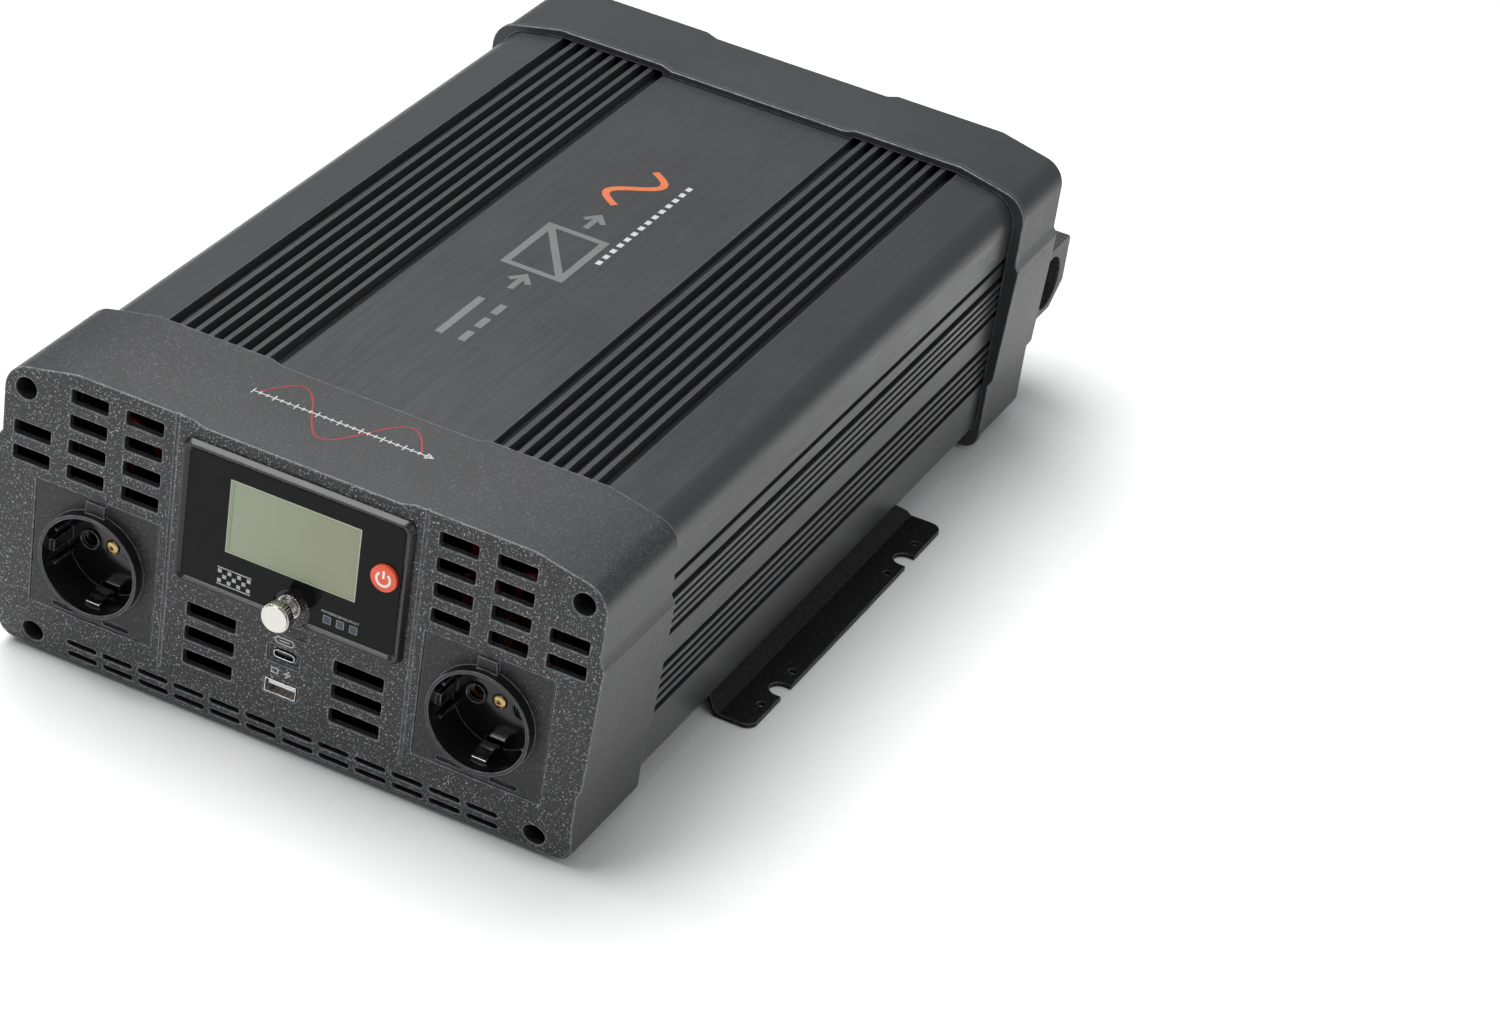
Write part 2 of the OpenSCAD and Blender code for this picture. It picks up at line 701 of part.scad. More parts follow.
// ---- DC terminals ----
module terminal_housing() {
  x0 = housing_x - housing[0];
  w = housing_wall;
  back = rear_y + housing[1];
  top = housing_z + housing[2];
  section = [
    [rear_y, housing_z], [back - 12, housing_z], [back, housing_z + 9],
    [back, top - 2], [back - 2, top], [rear_y, top]
  ];
  inside = [
    [rear_y - 1, housing_z + w], [back - 13, housing_z + w], [back - w, housing_z + 10],
    [back - w, top - w - 1], [back - w - 1, top - w], [rear_y - 1, top - w]
  ];
  color("#232426") difference() {
    union() {
      difference() {
        along_x(x0, housing[0]) polygon(section);
        along_x(x0 + w, housing[0] - 2 * w) polygon(inside);
      }
      x_rod(housing_x - 9, bolt_y, bolt_z, 8, port_r + 1.4);
    }
    x_rod(housing_x - 10, bolt_y, bolt_z, 12, port_r);
    // cable entry
    y_rod(block_x + 6, bolt_z, back - w - 1, w + 2, 7.5);
  }
}

module terminal_block() {
  color("#b58f4a") difference() {
    union() {
      block([block_x - 16, rear_y + 8, bolt_z - 9], [block_x, rear_y + 31, bolt_z + 9]);
      block([block_x - 16, rear_y - 24, bolt_z - 6], [block_x - 10, rear_y + 8 + eps, bolt_z + 6]);
    }
    x_rod(block_x - 15, bolt_y, bolt_z, 20, bolt_r + 0.08);
  }
}

module terminal_washer() {
  color("#c6c7c9") difference() {
    x_rod(block_x + 0.1, bolt_y, bolt_z, washer_t, 8.6);
    x_rod(block_x - 1, bolt_y, bolt_z, washer_t + 3, bolt_r + 0.35);
  }
}

module terminal_bolt() {
  head_x = block_x + 0.2 + washer_t;
  color("#5c5d60") {
    // thread, of which 6 mm still grips when the bolt is free
    x_rod(head_x - bolt_travel - 6, bolt_y, bolt_z, bolt_travel + 7, bolt_r);
    x_rod(head_x, bolt_y, bolt_z, 1.8, 8.4);
    translate([head_x + 1.7, bolt_y, bolt_z]) rotate([0, 90, 0]) cylinder(h = 6, r = 7.4, $fn = 6);
    intersection() {
      translate([head_x + 6, bolt_y, bolt_z]) sphere(r = 5.6);
      x_rod(head_x + 5, bolt_y, bolt_z, 10, 6);
    }
  }
}

// ---- fans ----
module fan_frame() {
  color("#1a1a1b") difference() {
    union() {
      difference() {
        along_y(fan_y, fan_d) translate([fan_x, fan_z]) polygon(rounded(fan, fan, 4));
        y_rod(fan_x, fan_z, fan_y - 1, fan_d + 2, fan_bore - 1);
      }
      // motor seat on four struts
      y_rod(fan_x, fan_z, fan_y, 2, hub_r + 1);
      for (a = [0:3]) translate([fan_x, fan_y, fan_z]) rotate([0, 90 * a + 45, 0])
        translate([hub_r, 0, -1.2]) cube([fan_bore - hub_r, 2, 2.4]);
      y_rod(fan_x, fan_z, fan_y, fan_d - 3, 1.5);
    }
    for (a = [-1, 1]) for (b = [-1, 1])
      y_rod(fan_x + a * fan_hole, fan_z + b * fan_hole, fan_y - 1, fan_d + 2, 1.6);
  }
}

module fan_rotor() {
  y0 = fan_y + 2.6;
  l = fan_d - 3.4;
  color("#202122") difference() {
    union() {
      y_rod(fan_x, fan_z, y0, l, hub_r);
      for (i = [0:blades - 1]) translate([fan_x, y0 + l / 2, fan_z]) rotate([0, i * 360 / blades, 0])
        translate([hub_r - 1, 0, 0]) rotate([38, 0, 0])
          translate([0, -0.6, -6.2]) cube([fan_bore - 2 - hub_r, 1.2, 12.4]);
    }
    y_rod(fan_x, fan_z, y0 - 1, l - 0.5, 1.55);
  }
}

module fan_guards() {
  wire_r = 0.8;
  spoke_y = 1;
  eye = fan_hole * sqrt(2);
  color("#b4b6b9") pair() translate([fan_x, rear_y + wire_r + 0.05, fan_z]) {
    for (r = [7:6:25]) rotate([90, 0, 0]) rotate_extrude() translate([r, 0]) circle(r = wire_r, $fn = 16);
    for (a = [0:3]) rotate([0, 45 + 90 * a, 0]) {
      translate([5, spoke_y, 0]) rotate([0, 90, 0]) cylinder(h = eye - 8, r = wire_r, $fn = 16);
      translate([eye, -wire_r, 0]) rotate([-90, 0, 0]) difference() {
        cylinder(h = spoke_y + 1.2, r = 4);
        translate([0, 0, -1]) cylinder(h = 5, r = 1.8);
      }
    }
  }
}

module fan_screws() {
  color("#6f7072") pair() for (a = [-1, 1]) for (b = [-1, 1])
    translate([fan_x + a * fan_hole, rear_y + 2.35, fan_z + b * fan_hole]) rotate([90, 0, 0]) {
      translate([0, 0, -1.8]) cylinder(h = 1.8, r = 3);
      cylinder(h = 13, r = 1.5);
    }
}

// ---- inside ----
module main_board() {
  color("#1d5636") difference() {
    block([-board_x, board_y0, board_z], [board_x, board_y1, board_z + board_t]);
    for (p = standoff_places()) translate([p[0], p[1], board_z - 1]) cylinder(h = 4, r = 1.7);
  }
}

function standoff_places() = [
  for (x = [-1, 1]) for (y = [board_y0 + 8, (board_y0 + board_y1) / 2, board_y1 - 8]) [x * (board_x - 7), y]
];

module standoffs() {
  foot = ext_bottom + flange_t + plate_t;
  color("#b9a25c") for (p = standoff_places()) translate([p[0], p[1], foot]) {
    cylinder(h = board_z - foot, r = 3.2, $fn = 6);
    cylinder(h = deck + 1.6 - foot, r = 1.5);
    translate([0, 0, deck - foot]) cylinder(h = 1.8, r = 2.9);
  }
}

transformer_y = [for (i = [0:2]) board_y0 + 78 + i * 56];
transformer_x = -42;

module transformer_cores() {
  color("#3d3a3c") for (y = transformer_y) translate([transformer_x, y, deck]) difference() {
    translate([-24, -13, 0]) cube([48, 26, 44]);
    for (s = [-1, 1]) translate([s * 12.5 - 6.5, -14, 8]) cube([13, 28, 28]);
  }
}

module transformer_windings() {
  color("#a4742c") for (y = transformer_y) translate([transformer_x, y, deck + 8.3]) difference() {
    linear_extrude(27.4) polygon(rounded(36, 40, 9));
    translate([-6.2, -13.3, -1]) cube([12.4, 26.6, 30]);
  }
}

module capacitors() {
  color("#24324a") {
    for (i = [0:3]) for (j = [0:1])
      translate([34 + j * 25, board_y1 - 22 - i * 25, deck]) cylinder(h = 40, r = 11);
    for (i = [0:2]) translate([-70 + i * 26, board_y0 + 22, deck]) cylinder(h = 42, r = 11);
  }
}

module heat_bars() {
  color("#a9abad") pair()
    block([board_x - 19, board_y0 + 42, deck], [board_x - 13, board_y1 - 20, deck + 52]);
}

module mosfets() {
  color("#18191a") pair() for (y = [board_y0 + 56:22:board_y1 - 40]) {
    block([board_x - 24.2, y - 8, deck + 12], [board_x - 19.1, y + 8, deck + 33]);
    for (k = [-1:1])
      block([board_x - 21.4, y + k * 5.4 - 0.7, deck], [board_x - 20.6, y + k * 5.4 + 0.7, deck + 12.2]);
  }
}

choke_c = [46, board_y0 + 34];
module choke_core() {
  color("#4a4b4d") translate([choke_c[0], choke_c[1], deck + 1.6]) difference() {
    cylinder(h = 16, r = 20);
    translate([0, 0, -1]) cylinder(h = 20, r = 12);
  }
}

module choke_winding() {
  color("#b06a2c") translate([choke_c[0], choke_c[1], deck + 9.6]) for (i = [0:17]) rotate([0, 0, i * 18 + 18])
    difference() {
      translate([10.6, -1.1, -9.6]) cube([10.8, 2.2, 19.2]);
      translate([11.9, -2, -8.1]) cube([8.2, 4, 16.2]);
    }
}

module socket_wires() {
  y = -ring_h + recess_d + 2.6 + 21;
  color("#b3261e") pair() for (s = [-1, 1]) {
    x = plate_x + s * pin_pitch / 2;
    wire(curve([
      [x, y, plate_c + 1.9], [x - 1, y + 3, plate_c + 14], [x - 3 + s * 2, y - 9, vent_top - 27 + s * 3],
      [x - 14, y - 10, vent_top - 21 - s * 4], [x - 16, y + 6, plate_c + 12], [x - 12, board_y0 + 6, deck + 1.4]
    ], 4), 1.2);
  }
}

translate(datum) body_extrusion();
translate(datum) base_plate();
translate(datum) front_bezel();
translate(datum) rear_cap();
translate(datum) display_frame();
translate(datum) display_lens();
translate(datum) lcd_panel();
translate(datum) power_button();
translate(datum) button_switch();
translate(datum) status_leds();
translate(datum) display_board();
translate(datum) at(-1) socket();  // socket_left
translate(datum) at(1) socket();  // socket_right
translate(datum) at(-1) contacts();  // contacts_left
translate(datum) at(1) contacts();  // contacts_right
translate(datum) at(-1) earth_clips();  // earth_clips_left
translate(datum) at(1) earth_clips();  // earth_clips_right
translate(datum) usb_c_shell();
translate(datum) usb_c_tongue();
translate(datum) usb_a_shell();
translate(datum) usb_a_tongue();
translate(datum) port_board();
translate(datum) ground_post();
translate(datum) ground_washer();
translate(datum) ground_screw();
translate(datum) front_screws();
translate(datum) rear_screws();
translate(datum) at(-1) bracket();  // bracket_left
translate(datum) at(1) bracket();  // bracket_right
translate(datum) bracket_screws();
translate(datum) at(-1) terminal_housing();  // terminal_housing_left
translate(datum) at(1) terminal_housing();  // terminal_housing_right
translate(datum) at(-1) terminal_block();  // terminal_block_left
translate(datum) at(1) terminal_block();  // terminal_block_right
translate(datum) at(-1) terminal_washer();  // terminal_washer_left
translate(datum) at(1) terminal_washer();  // terminal_washer_right
translate(datum) at(-1) terminal_bolt();  // terminal_bolt_left
translate(datum) at(1) terminal_bolt();  // terminal_bolt_right
translate(datum) at(-1) fan_frame();  // fan_frame_left
translate(datum) at(1) fan_frame();  // fan_frame_right
translate(datum) at(-1) fan_rotor();  // fan_rotor_left
translate(datum) at(1) fan_rotor();  // fan_rotor_right
translate(datum) fan_guards();
translate(datum) fan_screws();
translate(datum) main_board();
translate(datum) standoffs();
translate(datum) transformer_cores();
translate(datum) transformer_windings();
translate(datum) capacitors();
translate(datum) mosfets();
translate(datum) heat_bars();
translate(datum) choke_core();
translate(datum) choke_winding();
translate(datum) socket_wires();
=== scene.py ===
import json
import math

import bmesh
import bpy
from bpy.props import FloatProperty, FloatVectorProperty, IntProperty, PointerProperty
from mathutils import Matrix, Vector

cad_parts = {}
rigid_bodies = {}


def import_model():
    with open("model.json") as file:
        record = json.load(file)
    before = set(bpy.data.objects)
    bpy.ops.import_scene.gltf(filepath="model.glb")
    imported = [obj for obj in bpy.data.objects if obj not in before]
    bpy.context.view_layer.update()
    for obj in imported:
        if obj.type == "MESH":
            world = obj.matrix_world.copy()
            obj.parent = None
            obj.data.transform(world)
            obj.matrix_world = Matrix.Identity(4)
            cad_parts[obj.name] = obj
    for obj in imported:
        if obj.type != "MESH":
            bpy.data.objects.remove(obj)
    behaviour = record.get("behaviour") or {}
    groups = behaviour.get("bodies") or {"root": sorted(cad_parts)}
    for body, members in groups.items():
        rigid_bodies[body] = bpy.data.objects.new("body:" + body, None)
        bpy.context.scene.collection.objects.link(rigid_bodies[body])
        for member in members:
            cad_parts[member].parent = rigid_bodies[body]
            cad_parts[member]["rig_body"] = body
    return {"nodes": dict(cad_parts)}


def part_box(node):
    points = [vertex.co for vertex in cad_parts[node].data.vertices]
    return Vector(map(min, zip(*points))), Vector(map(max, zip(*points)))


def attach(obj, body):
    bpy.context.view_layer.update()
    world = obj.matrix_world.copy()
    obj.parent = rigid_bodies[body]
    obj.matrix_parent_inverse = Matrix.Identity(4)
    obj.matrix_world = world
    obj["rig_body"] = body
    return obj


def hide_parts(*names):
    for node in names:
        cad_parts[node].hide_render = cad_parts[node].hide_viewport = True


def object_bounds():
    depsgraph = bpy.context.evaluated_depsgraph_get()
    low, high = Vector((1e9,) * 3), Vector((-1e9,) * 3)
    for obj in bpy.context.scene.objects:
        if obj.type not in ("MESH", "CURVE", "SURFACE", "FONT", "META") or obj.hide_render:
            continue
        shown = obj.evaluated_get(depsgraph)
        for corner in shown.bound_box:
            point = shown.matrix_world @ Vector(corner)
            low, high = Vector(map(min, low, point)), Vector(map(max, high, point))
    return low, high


bl_info = {
    "name": "Power Inverter",
    "version": (1, 0, 0),
    "blender": (4, 5, 0),
    "location": "3D View > Sidebar > Inverter",
    "description": "Dresses the packed frame of a power inverter with its finished pieces",
    "category": "Add Mesh",
}

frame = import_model()
cad_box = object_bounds()

MM = 0.001
CREASE = 11.5    # degrees from which a fold in a moulding stays crisp
ROUND = 29.7     # degrees from which a fold is one step of a round corner
CORNER = 35.0    # degrees from which a fold is a corner that gets eased
PRINT = 0.05     # thickness of the ink, in millimetres
LAYER = 0.004    # step between two strokes that cross, in millimetres
PROUD = 0.00001  # height of ink above the face it is printed on, in metres
FLAT = 0.4       # degrees up to which two faces are one flat face
WELD = 1e-6      # distance up to which two vertices are one, in metres
MERGE = 0.0005   # distance up to which two points of a mark are one, in millimetres
FINE = 0.00002   # depth of relief where a finish names none, in metres


# ---- settings ----
def colour(name, default, description):
    return FloatVectorProperty(
        name=name, description=description, subtype="COLOR", size=3, min=0, max=1, default=default
    )


def length(name, default, description, low, high):
    return FloatProperty(
        name=name, description=description, unit="LENGTH", min=low, max=high, default=default,
        precision=5,
    )


def angle(name, degrees, description):
    return FloatProperty(
        name=name, description=description, subtype="ANGLE", default=math.radians(degrees)
    )


def power(name, watts, description):
    return FloatProperty(name=name, description=description, unit="POWER", min=0, default=watts)


def factor(name, default, description):
    return FloatProperty(
        name=name, description=description, subtype="FACTOR", min=0, max=1, default=default
    )


class CaseSettings(bpy.types.PropertyGroup):
    paint: colour("Paint", (0.03, 0.0305, 0.032), "Coat on the extruded body")
    plastic: colour("Plastic", (0.026, 0.0265, 0.028), "Moulded end caps")
    bracket: colour("Bracket", (0.007, 0.007, 0.0075), "Powder coat on the brackets")
    spark: colour("Spark", (0.5, 0.5, 0.51), "Light that the grain's tips catch")
    edge: length("Edge", 0.0003, "Width of the eased corners of the end caps", 0.0001, 0.0004)
    grain: length("Grain", 0.0006, "Size of the spark grain on the mouldings", 0.0002, 0.002)


class MarkSettings(bpy.types.PropertyGroup):
    grey: colour("Grey ink", (0.12, 0.12, 0.12), "Large symbols on the body")
    orange: colour("Orange ink", (0.5, 0.12, 0.035), "Output symbol on the body")
    pale: colour("Pale ink", (0.42, 0.42, 0.42), "Fine lines and labels")
    red: colour("Red ink", (0.3, 0.01, 0.02), "Sine curve on the front cap")
    height: length("Symbol height", 0.024, "Height of the large symbols", 0.01, 0.04)
    waves: IntProperty(
        name="Half waves", description="Half waves of the sine curve", min=1, max=7, default=3
    )


class DisplaySettings(bpy.types.PropertyGroup):
    glass: colour("Lens", (0.0055, 0.0055, 0.006), "Black print behind the lens")
    lcd: colour("LCD", (0.31, 0.345, 0.24), "Unlit LCD")
    button: colour("Button", (0.82, 0.10, 0.04), "Power button")


class SocketSettings(bpy.types.PropertyGroup):
    body: colour("Body", (0.012, 0.012, 0.013), "Socket mouldings")
    gloss: factor("Roughness", 0.12, "Roughness of the plug recess")


class StageSettings(bpy.types.PropertyGroup):
    floor: colour("Floor", (0.86, 0.86, 0.86), "Studio floor")
    azimuth: angle("Azimuth", 21.36, "Camera's turn round the part")
    elevation: angle("Elevation", 31.26, "Camera's height above the horizon")
    roll: angle("Roll", 9.11, "Camera's roll")
    distance: length("Distance", 1.64456, "Camera to the point it looks at", 0.3, 10)
    target: FloatVectorProperty(
        name="Target", description="Point the camera looks at", subtype="TRANSLATION", size=3,
        default=(0.12319, -0.09969, 0.09503),
    )
    lens: FloatProperty(
        name="Lens", description="Focal length", unit="CAMERA", min=20, max=300, default=107.236
    )
    key: power("Key light", 37, "Power of the key light")
    fill: power("Fill light", 3.2, "Power of the fill light")
    room: FloatProperty(name="Room", description="Brightness of the white room", min=0, default=0.34)


SETTINGS = {
    "inverter_case": CaseSettings,
    "inverter_marks": MarkSettings,
    "inverter_display": DisplaySettings,
    "inverter_sockets": SocketSettings,
    "inverter_stage": StageSettings,
}


# ---- shader node groups ----
def new_group(name, inputs, outputs):
    """An empty shader group with float or vector sockets, and its in and out nodes."""
    group = bpy.data.node_groups.new(name, "ShaderNodeTree")
    for label, value in inputs.items():
        kind = "NodeSocketVector" if value is None else "NodeSocketFloat"
        socket = group.interface.new_socket(name=label, in_out="INPUT", socket_type=kind)
        if value is not None:
            socket.default_value = value
    for label in outputs:
        group.interface.new_socket(name=label, in_out="OUTPUT", socket_type="NodeSocketFloat")
    return group, group.nodes.new("NodeGroupInput").outputs, group.nodes.new("NodeGroupOutput").inputs


def node(tree, kind, links=None, **values):
    """Adds a node, sets its plain values and sockets by name, and links sockets to it."""
    made = tree.nodes.new("ShaderNode" + kind)
    for key, value in values.items():
        setattr(made, key, value)
    for key, value in (links or {}).items():
        socket = made.inputs[key]
        if isinstance(value, bpy.types.NodeSocket):
            tree.links.new(value, socket)
        else:
            socket.default_value = value
    return made


def maths(tree, operation, a, b=0.0, clamp=False):
    """A Math node's result. a and b are numbers or sockets."""
    return node(tree, "Math", {0: a, 1: b}, operation=operation, use_clamp=clamp).outputs[0]


def times(tree, a, b, clamp=False):
    return maths(tree, "MULTIPLY", a, b, clamp)


def plus(tree, a, b, clamp=False):
    return maths(tree, "ADD", a, b, clamp)


def noise(tree, vector, scale, detail=2.0, roughness=0.5):
    """Soft noise between 0 and 1."""
    sockets = {"Vector": vector, "Scale": scale, "Detail": detail, "Roughness": roughness}
    return node(tree, "TexNoise", sockets).outputs["Fac"]


def span(tree, value, low, high, to_low=0.0, to_high=1.0):
    """Maps a value from one range to another, with soft ends."""
    made = node(
        tree, "MapRange",
        {"Value": value, "From Min": low, "From Max": high, "To Min": to_low, "To Max": to_high},
        interpolation_type="SMOOTHSTEP",
    )
    return made.outputs["Result"]


def grain_group():
    """Spark-eroded mould grain: pits and grains of one size, of which some catch the light."""
    group, a, out = new_group("Mould grain", {"Vector": None, "Scale": 1300.0}, ["Height", "Glint"])
    fine = noise(group, a["Vector"], a["Scale"], 2.0, 0.65)
    cells = node(group, "TexVoronoi", {"Vector": a["Vector"], "Scale": a["Scale"]}, feature="SMOOTH_F1")
    apart = cells.outputs["Distance"]
    pits = maths(group, "SUBTRACT", 0.9, apart)
    height = plus(group, times(group, fine, 0.8), times(group, pits, 0.5))
    group.links.new(height, out["Height"])
    tip = span(group, apart, 0.42, 0.2)
    chosen = noise(group, a["Vector"], times(group, a["Scale"], 0.6))
    group.links.new(times(group, tip, span(group, chosen, 0.48, 0.62)), out["Glint"])
    return group


def handling_group():
    """Faint uneven tone, as handling and dust leave on a large face."""
    group, a, out = new_group("Handling", {"Vector": None, "Scale": 14.0}, ["Tone"])
    broad = noise(group, a["Vector"], a["Scale"], 3.0, 0.55)
    small = noise(group, a["Vector"], times(group, a["Scale"], 16.0), 3.0, 0.7)
    tone = plus(group, times(group, broad, 0.7), times(group, small, 0.3))
    group.links.new(span(group, tone, 0.3, 0.7), out["Tone"])
    return group


def edge_highlight_group():
    """Painted highlight on convex edges, where eased corners would catch the light, broken up by noise.
    """
    group, a, out = new_group("Edge highlight", {"Vector": None, "Radius": 0.0006, "Break": 320.0}, ["Mask"])
    eased = node(group, "Bevel", {"Radius": a["Radius"]}, samples=4)
    face = node(group, "NewGeometry")
    across = node(
        group, "VectorMath", {0: eased.outputs["Normal"], 1: face.outputs["Normal"]},
        operation="DOT_PRODUCT",
    ).outputs["Value"]
    edge = span(group, across, 0.995, 0.9)
    broken = noise(group, a["Vector"], a["Break"])
    mask = times(group, edge, span(group, broken, 0.25, 0.65, 0.35, 1.0), clamp=True)
    group.links.new(mask, out["Mask"])
    return group


def drawn_group():
    """Fine lines that a die or a brush leaves along one direction."""
    group, a, out = new_group("Drawn lines", {"Vector": None, "Scale": 900.0}, ["Height"])
    group.links.new(noise(group, a["Vector"], a["Scale"], 3.0, 0.6), out["Height"])
    return group


def zone_group():
    """1 inside a circle that is seen from the front, 0 outside."""
    group, a, out = new_group(
        "Round zone", {"Vector": None, "Centre X": 0.0, "Centre Z": 0.0, "Radius": 0.02}, ["Mask"]
    )
    place = node(group, "SeparateXYZ", {"Vector": a["Vector"]})
    x = maths(group, "SUBTRACT", place.outputs["X"], a["Centre X"])
    z = maths(group, "SUBTRACT", place.outputs["Z"], a["Centre Z"])
    reach = maths(group, "SQRT", plus(group, times(group, x, x), times(group, z, z)))
    group.links.new(maths(group, "LESS_THAN", reach, a["Radius"]), out["Mask"])
    return group


GROUPS = {
    "Mould grain": grain_group,
    "Handling": handling_group,
    "Edge highlight": edge_highlight_group,
    "Drawn lines": drawn_group,
    "Round zone": zone_group,
}


def effect(tree, name, **values):
    """Places a shared effect in a material and returns its outputs."""
    group = bpy.data.node_groups.get(name) or GROUPS[name]()
    made = node(tree, "Group", node_tree=group)
    for key, value in values.items():
        socket = made.inputs[key.replace("_", " ")]
        if isinstance(value, bpy.types.NodeSocket):
            tree.links.new(value, socket)
        else:
            socket.default_value = value
    return made.outputs


# ---- materials ----
def blend_colour(tree, mask, a, b):
    """A colour or socket a where mask is 0, b where it is 1."""
    made = node(tree, "Mix", data_type="RGBA")
    tree.links.new(mask, made.inputs[0])
    for place, value in ((6, a), (7, b)):
        if isinstance(value, bpy.types.NodeSocket):
            tree.links.new(value, made.inputs[place])
        else:
            made.inputs[place].default_value = (*value, 1)
    return made.outputs[2]


def shade(base, share):
    """A colour made darker or paler."""
    return tuple(min(1.0, x * share) for x in base)


def spark_colour():
    """What a grain's tip looks like where it catches the light."""
    return tuple(bpy.context.scene.inverter_case.spark)


def empty_material(name, roughness, **constants):
    """A material with a Principled shader whose constants sit on its own sockets."""
    made = bpy.data.materials.new(name)
    made.use_nodes = True
    tree = made.node_tree
    shader = next(n for n in tree.nodes if n.type == "BSDF_PRINCIPLED")
    shader.inputs["Roughness"].default_value = roughness
    for key, value in constants.items():
        shader.inputs[key.replace("_", " ")].default_value = value
    vector = node(tree, "TexCoord").outputs["Object"]
    return made, tree, shader.inputs, vector


def surface(
    name, base, roughness, grain=0.0, depth=0.0, glint=0.0, tone=0.12, highlight=0.5, vary=0.12, front=False,
    lines=None, radius=0.0006, edge=3.0, **constants,
):
    """One finish: base colour with handling tone, a painted highlight on its edges, grain and
    drawn lines.

    grain is the size of its grains in metres and depth their height, front keeps the coarse grain
    to faces that look forwards and paints those faces darker as painted shade, lines stretches
    fine lines along an axis, and edge is how much paler than the base the painted highlight on
    a corner is."""
    made, tree, sockets, vector = empty_material(name, roughness, **constants)
    tones = effect(tree, "Handling", Vector=vector)["Tone"]
    paint = blend_colour(tree, tones, shade(base, 1 - tone), shade(base, 1 + tone))
    smoothest, roughest = max(0.02, roughness * (1 - vary)), min(1.0, roughness * (1 + vary))
    rough = span(tree, tones, 0.0, 1.0, smoothest, roughest)
    height = None
    if grain:
        spark = effect(tree, "Mould grain", Vector=vector, Scale=1 / grain)
        height = spark["Height"]
        share = spark["Glint"]
        if front:
            normal = node(tree, "TexCoord").outputs["Normal"]
            facing = node(tree, "SeparateXYZ", {"Vector": normal}).outputs["Y"]
            mask = span(tree, facing, -0.25, -0.75, 0.2, 1.0)
            height = times(tree, height, mask)
            share = times(tree, share, mask)
            # painted shade: faces that look forwards are darker than the rest of the moulding
            paint = blend_colour(tree, mask, paint, shade(base, 0.42))
        if glint:
            paint = blend_colour(tree, times(tree, share, glint, clamp=True), paint, spark_colour())
    if lines:
        stretched = node(tree, "Mapping", {"Vector": vector, "Scale": lines})
        drawn = effect(tree, "Drawn lines", Vector=stretched.outputs["Vector"])["Height"]
        rough = plus(tree, rough, span(tree, drawn, 0.3, 0.7, -0.05, 0.05), clamp=True)
        drawn = times(tree, drawn, 0.25)
        height = drawn if height is None else plus(tree, height, drawn)
    # painted highlight: convex edges turn paler than the base, as if they caught the light
    if highlight:
        lit_edge = effect(tree, "Edge highlight", Vector=vector, Radius=radius)["Mask"]
        paint = blend_colour(tree, times(tree, lit_edge, highlight, clamp=True), paint, shade(base, edge))
    tree.links.new(paint, sockets["Base Color"])
    tree.links.new(rough, sockets["Roughness"])
    if height is not None:
        bump = node(tree, "Bump", {"Height": height, "Strength": 1.0, "Distance": depth or FINE})
        tree.links.new(bump.outputs["Normal"], sockets["Normal"])
    return made


def two_zone(name, base, centre, radius, grain, depth, rough_out, rough_in, **constants):
    """Grained plastic outside a circle and polished plastic inside it."""
    made, tree, sockets, vector = empty_material(name, rough_in, **constants)
    inside = effect(
        tree, "Round zone", Vector=vector, Centre_X=centre[0], Centre_Z=centre[1], Radius=radius
    )["Mask"]
    tones = effect(tree, "Handling", Vector=vector, Scale=40.0)["Tone"]
    spark = effect(tree, "Mould grain", Vector=vector, Scale=1 / grain)
    outside = maths(tree, "SUBTRACT", 1.0, inside)
    paint = blend_colour(tree, inside, shade(base, 0.5), shade(base, 0.4))
    paint = blend_colour(tree, times(tree, tones, 0.25), paint, shade(base, 1.6))
    tips = times(tree, times(tree, spark["Glint"], outside), 0.18)
    paint = blend_colour(tree, tips, paint, spark_colour())
    # painted highlight: the plate's convex edges turn thirty times paler than the base
    lit_edge = effect(tree, "Edge highlight", Vector=vector, Radius=0.0006)["Mask"]
    paint = blend_colour(tree, times(tree, lit_edge, 0.8), paint, shade(base, 30))
    tree.links.new(paint, sockets["Base Color"])
    rough = span(tree, inside, 0.0, 1.0, rough_out, rough_in)
    tree.links.new(plus(tree, rough, times(tree, tones, 0.05)), sockets["Roughness"])
    low = times(tree, spark["Height"], span(tree, inside, 0.0, 1.0, 1.0, 0.02))
    bump = node(tree, "Bump", {"Height": low, "Strength": 1.0, "Distance": depth})
    tree.links.new(bump.outputs["Normal"], sockets["Normal"])
    return made


def ink(name, base, roughness=0.5):
    """Printed ink: a little uneven, with the surface below showing in its gloss."""
    return surface(name, base, roughness, grain=0.0004, depth=0.000006, tone=0.06, highlight=0.0, vary=0.15)


def metal(name, base, roughness, lines=(1.0, 1.0, 0.05), **constants):
    """Bare metal with fine lines along its working direction, and a painted highlight on its edges."""
    return surface(
        name, base, roughness, tone=0.08, highlight=0.3, vary=0.25, lines=lines, depth=0.000008,
        Metallic=1.0, **constants,
    )


# ---- meshes ----
def put(name, bm, material, body):
    """Makes a mesh the named piece on a body."""
    mesh = bpy.data.meshes.new(name)
    bm.to_mesh(mesh)
    bm.free()
    mesh.materials.append(material)
    made = bpy.data.objects.new(name, mesh)
    bpy.context.scene.collection.objects.link(made)
    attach(made, body)
    return made


def shade_smooth(bm):
    """Smooth shading up to the corners."""
    for face in bm.faces:
        face.smooth = True
    for edge in bm.edges:
        edge.smooth = math.degrees(edge.calc_face_angle(0.0)) < CORNER


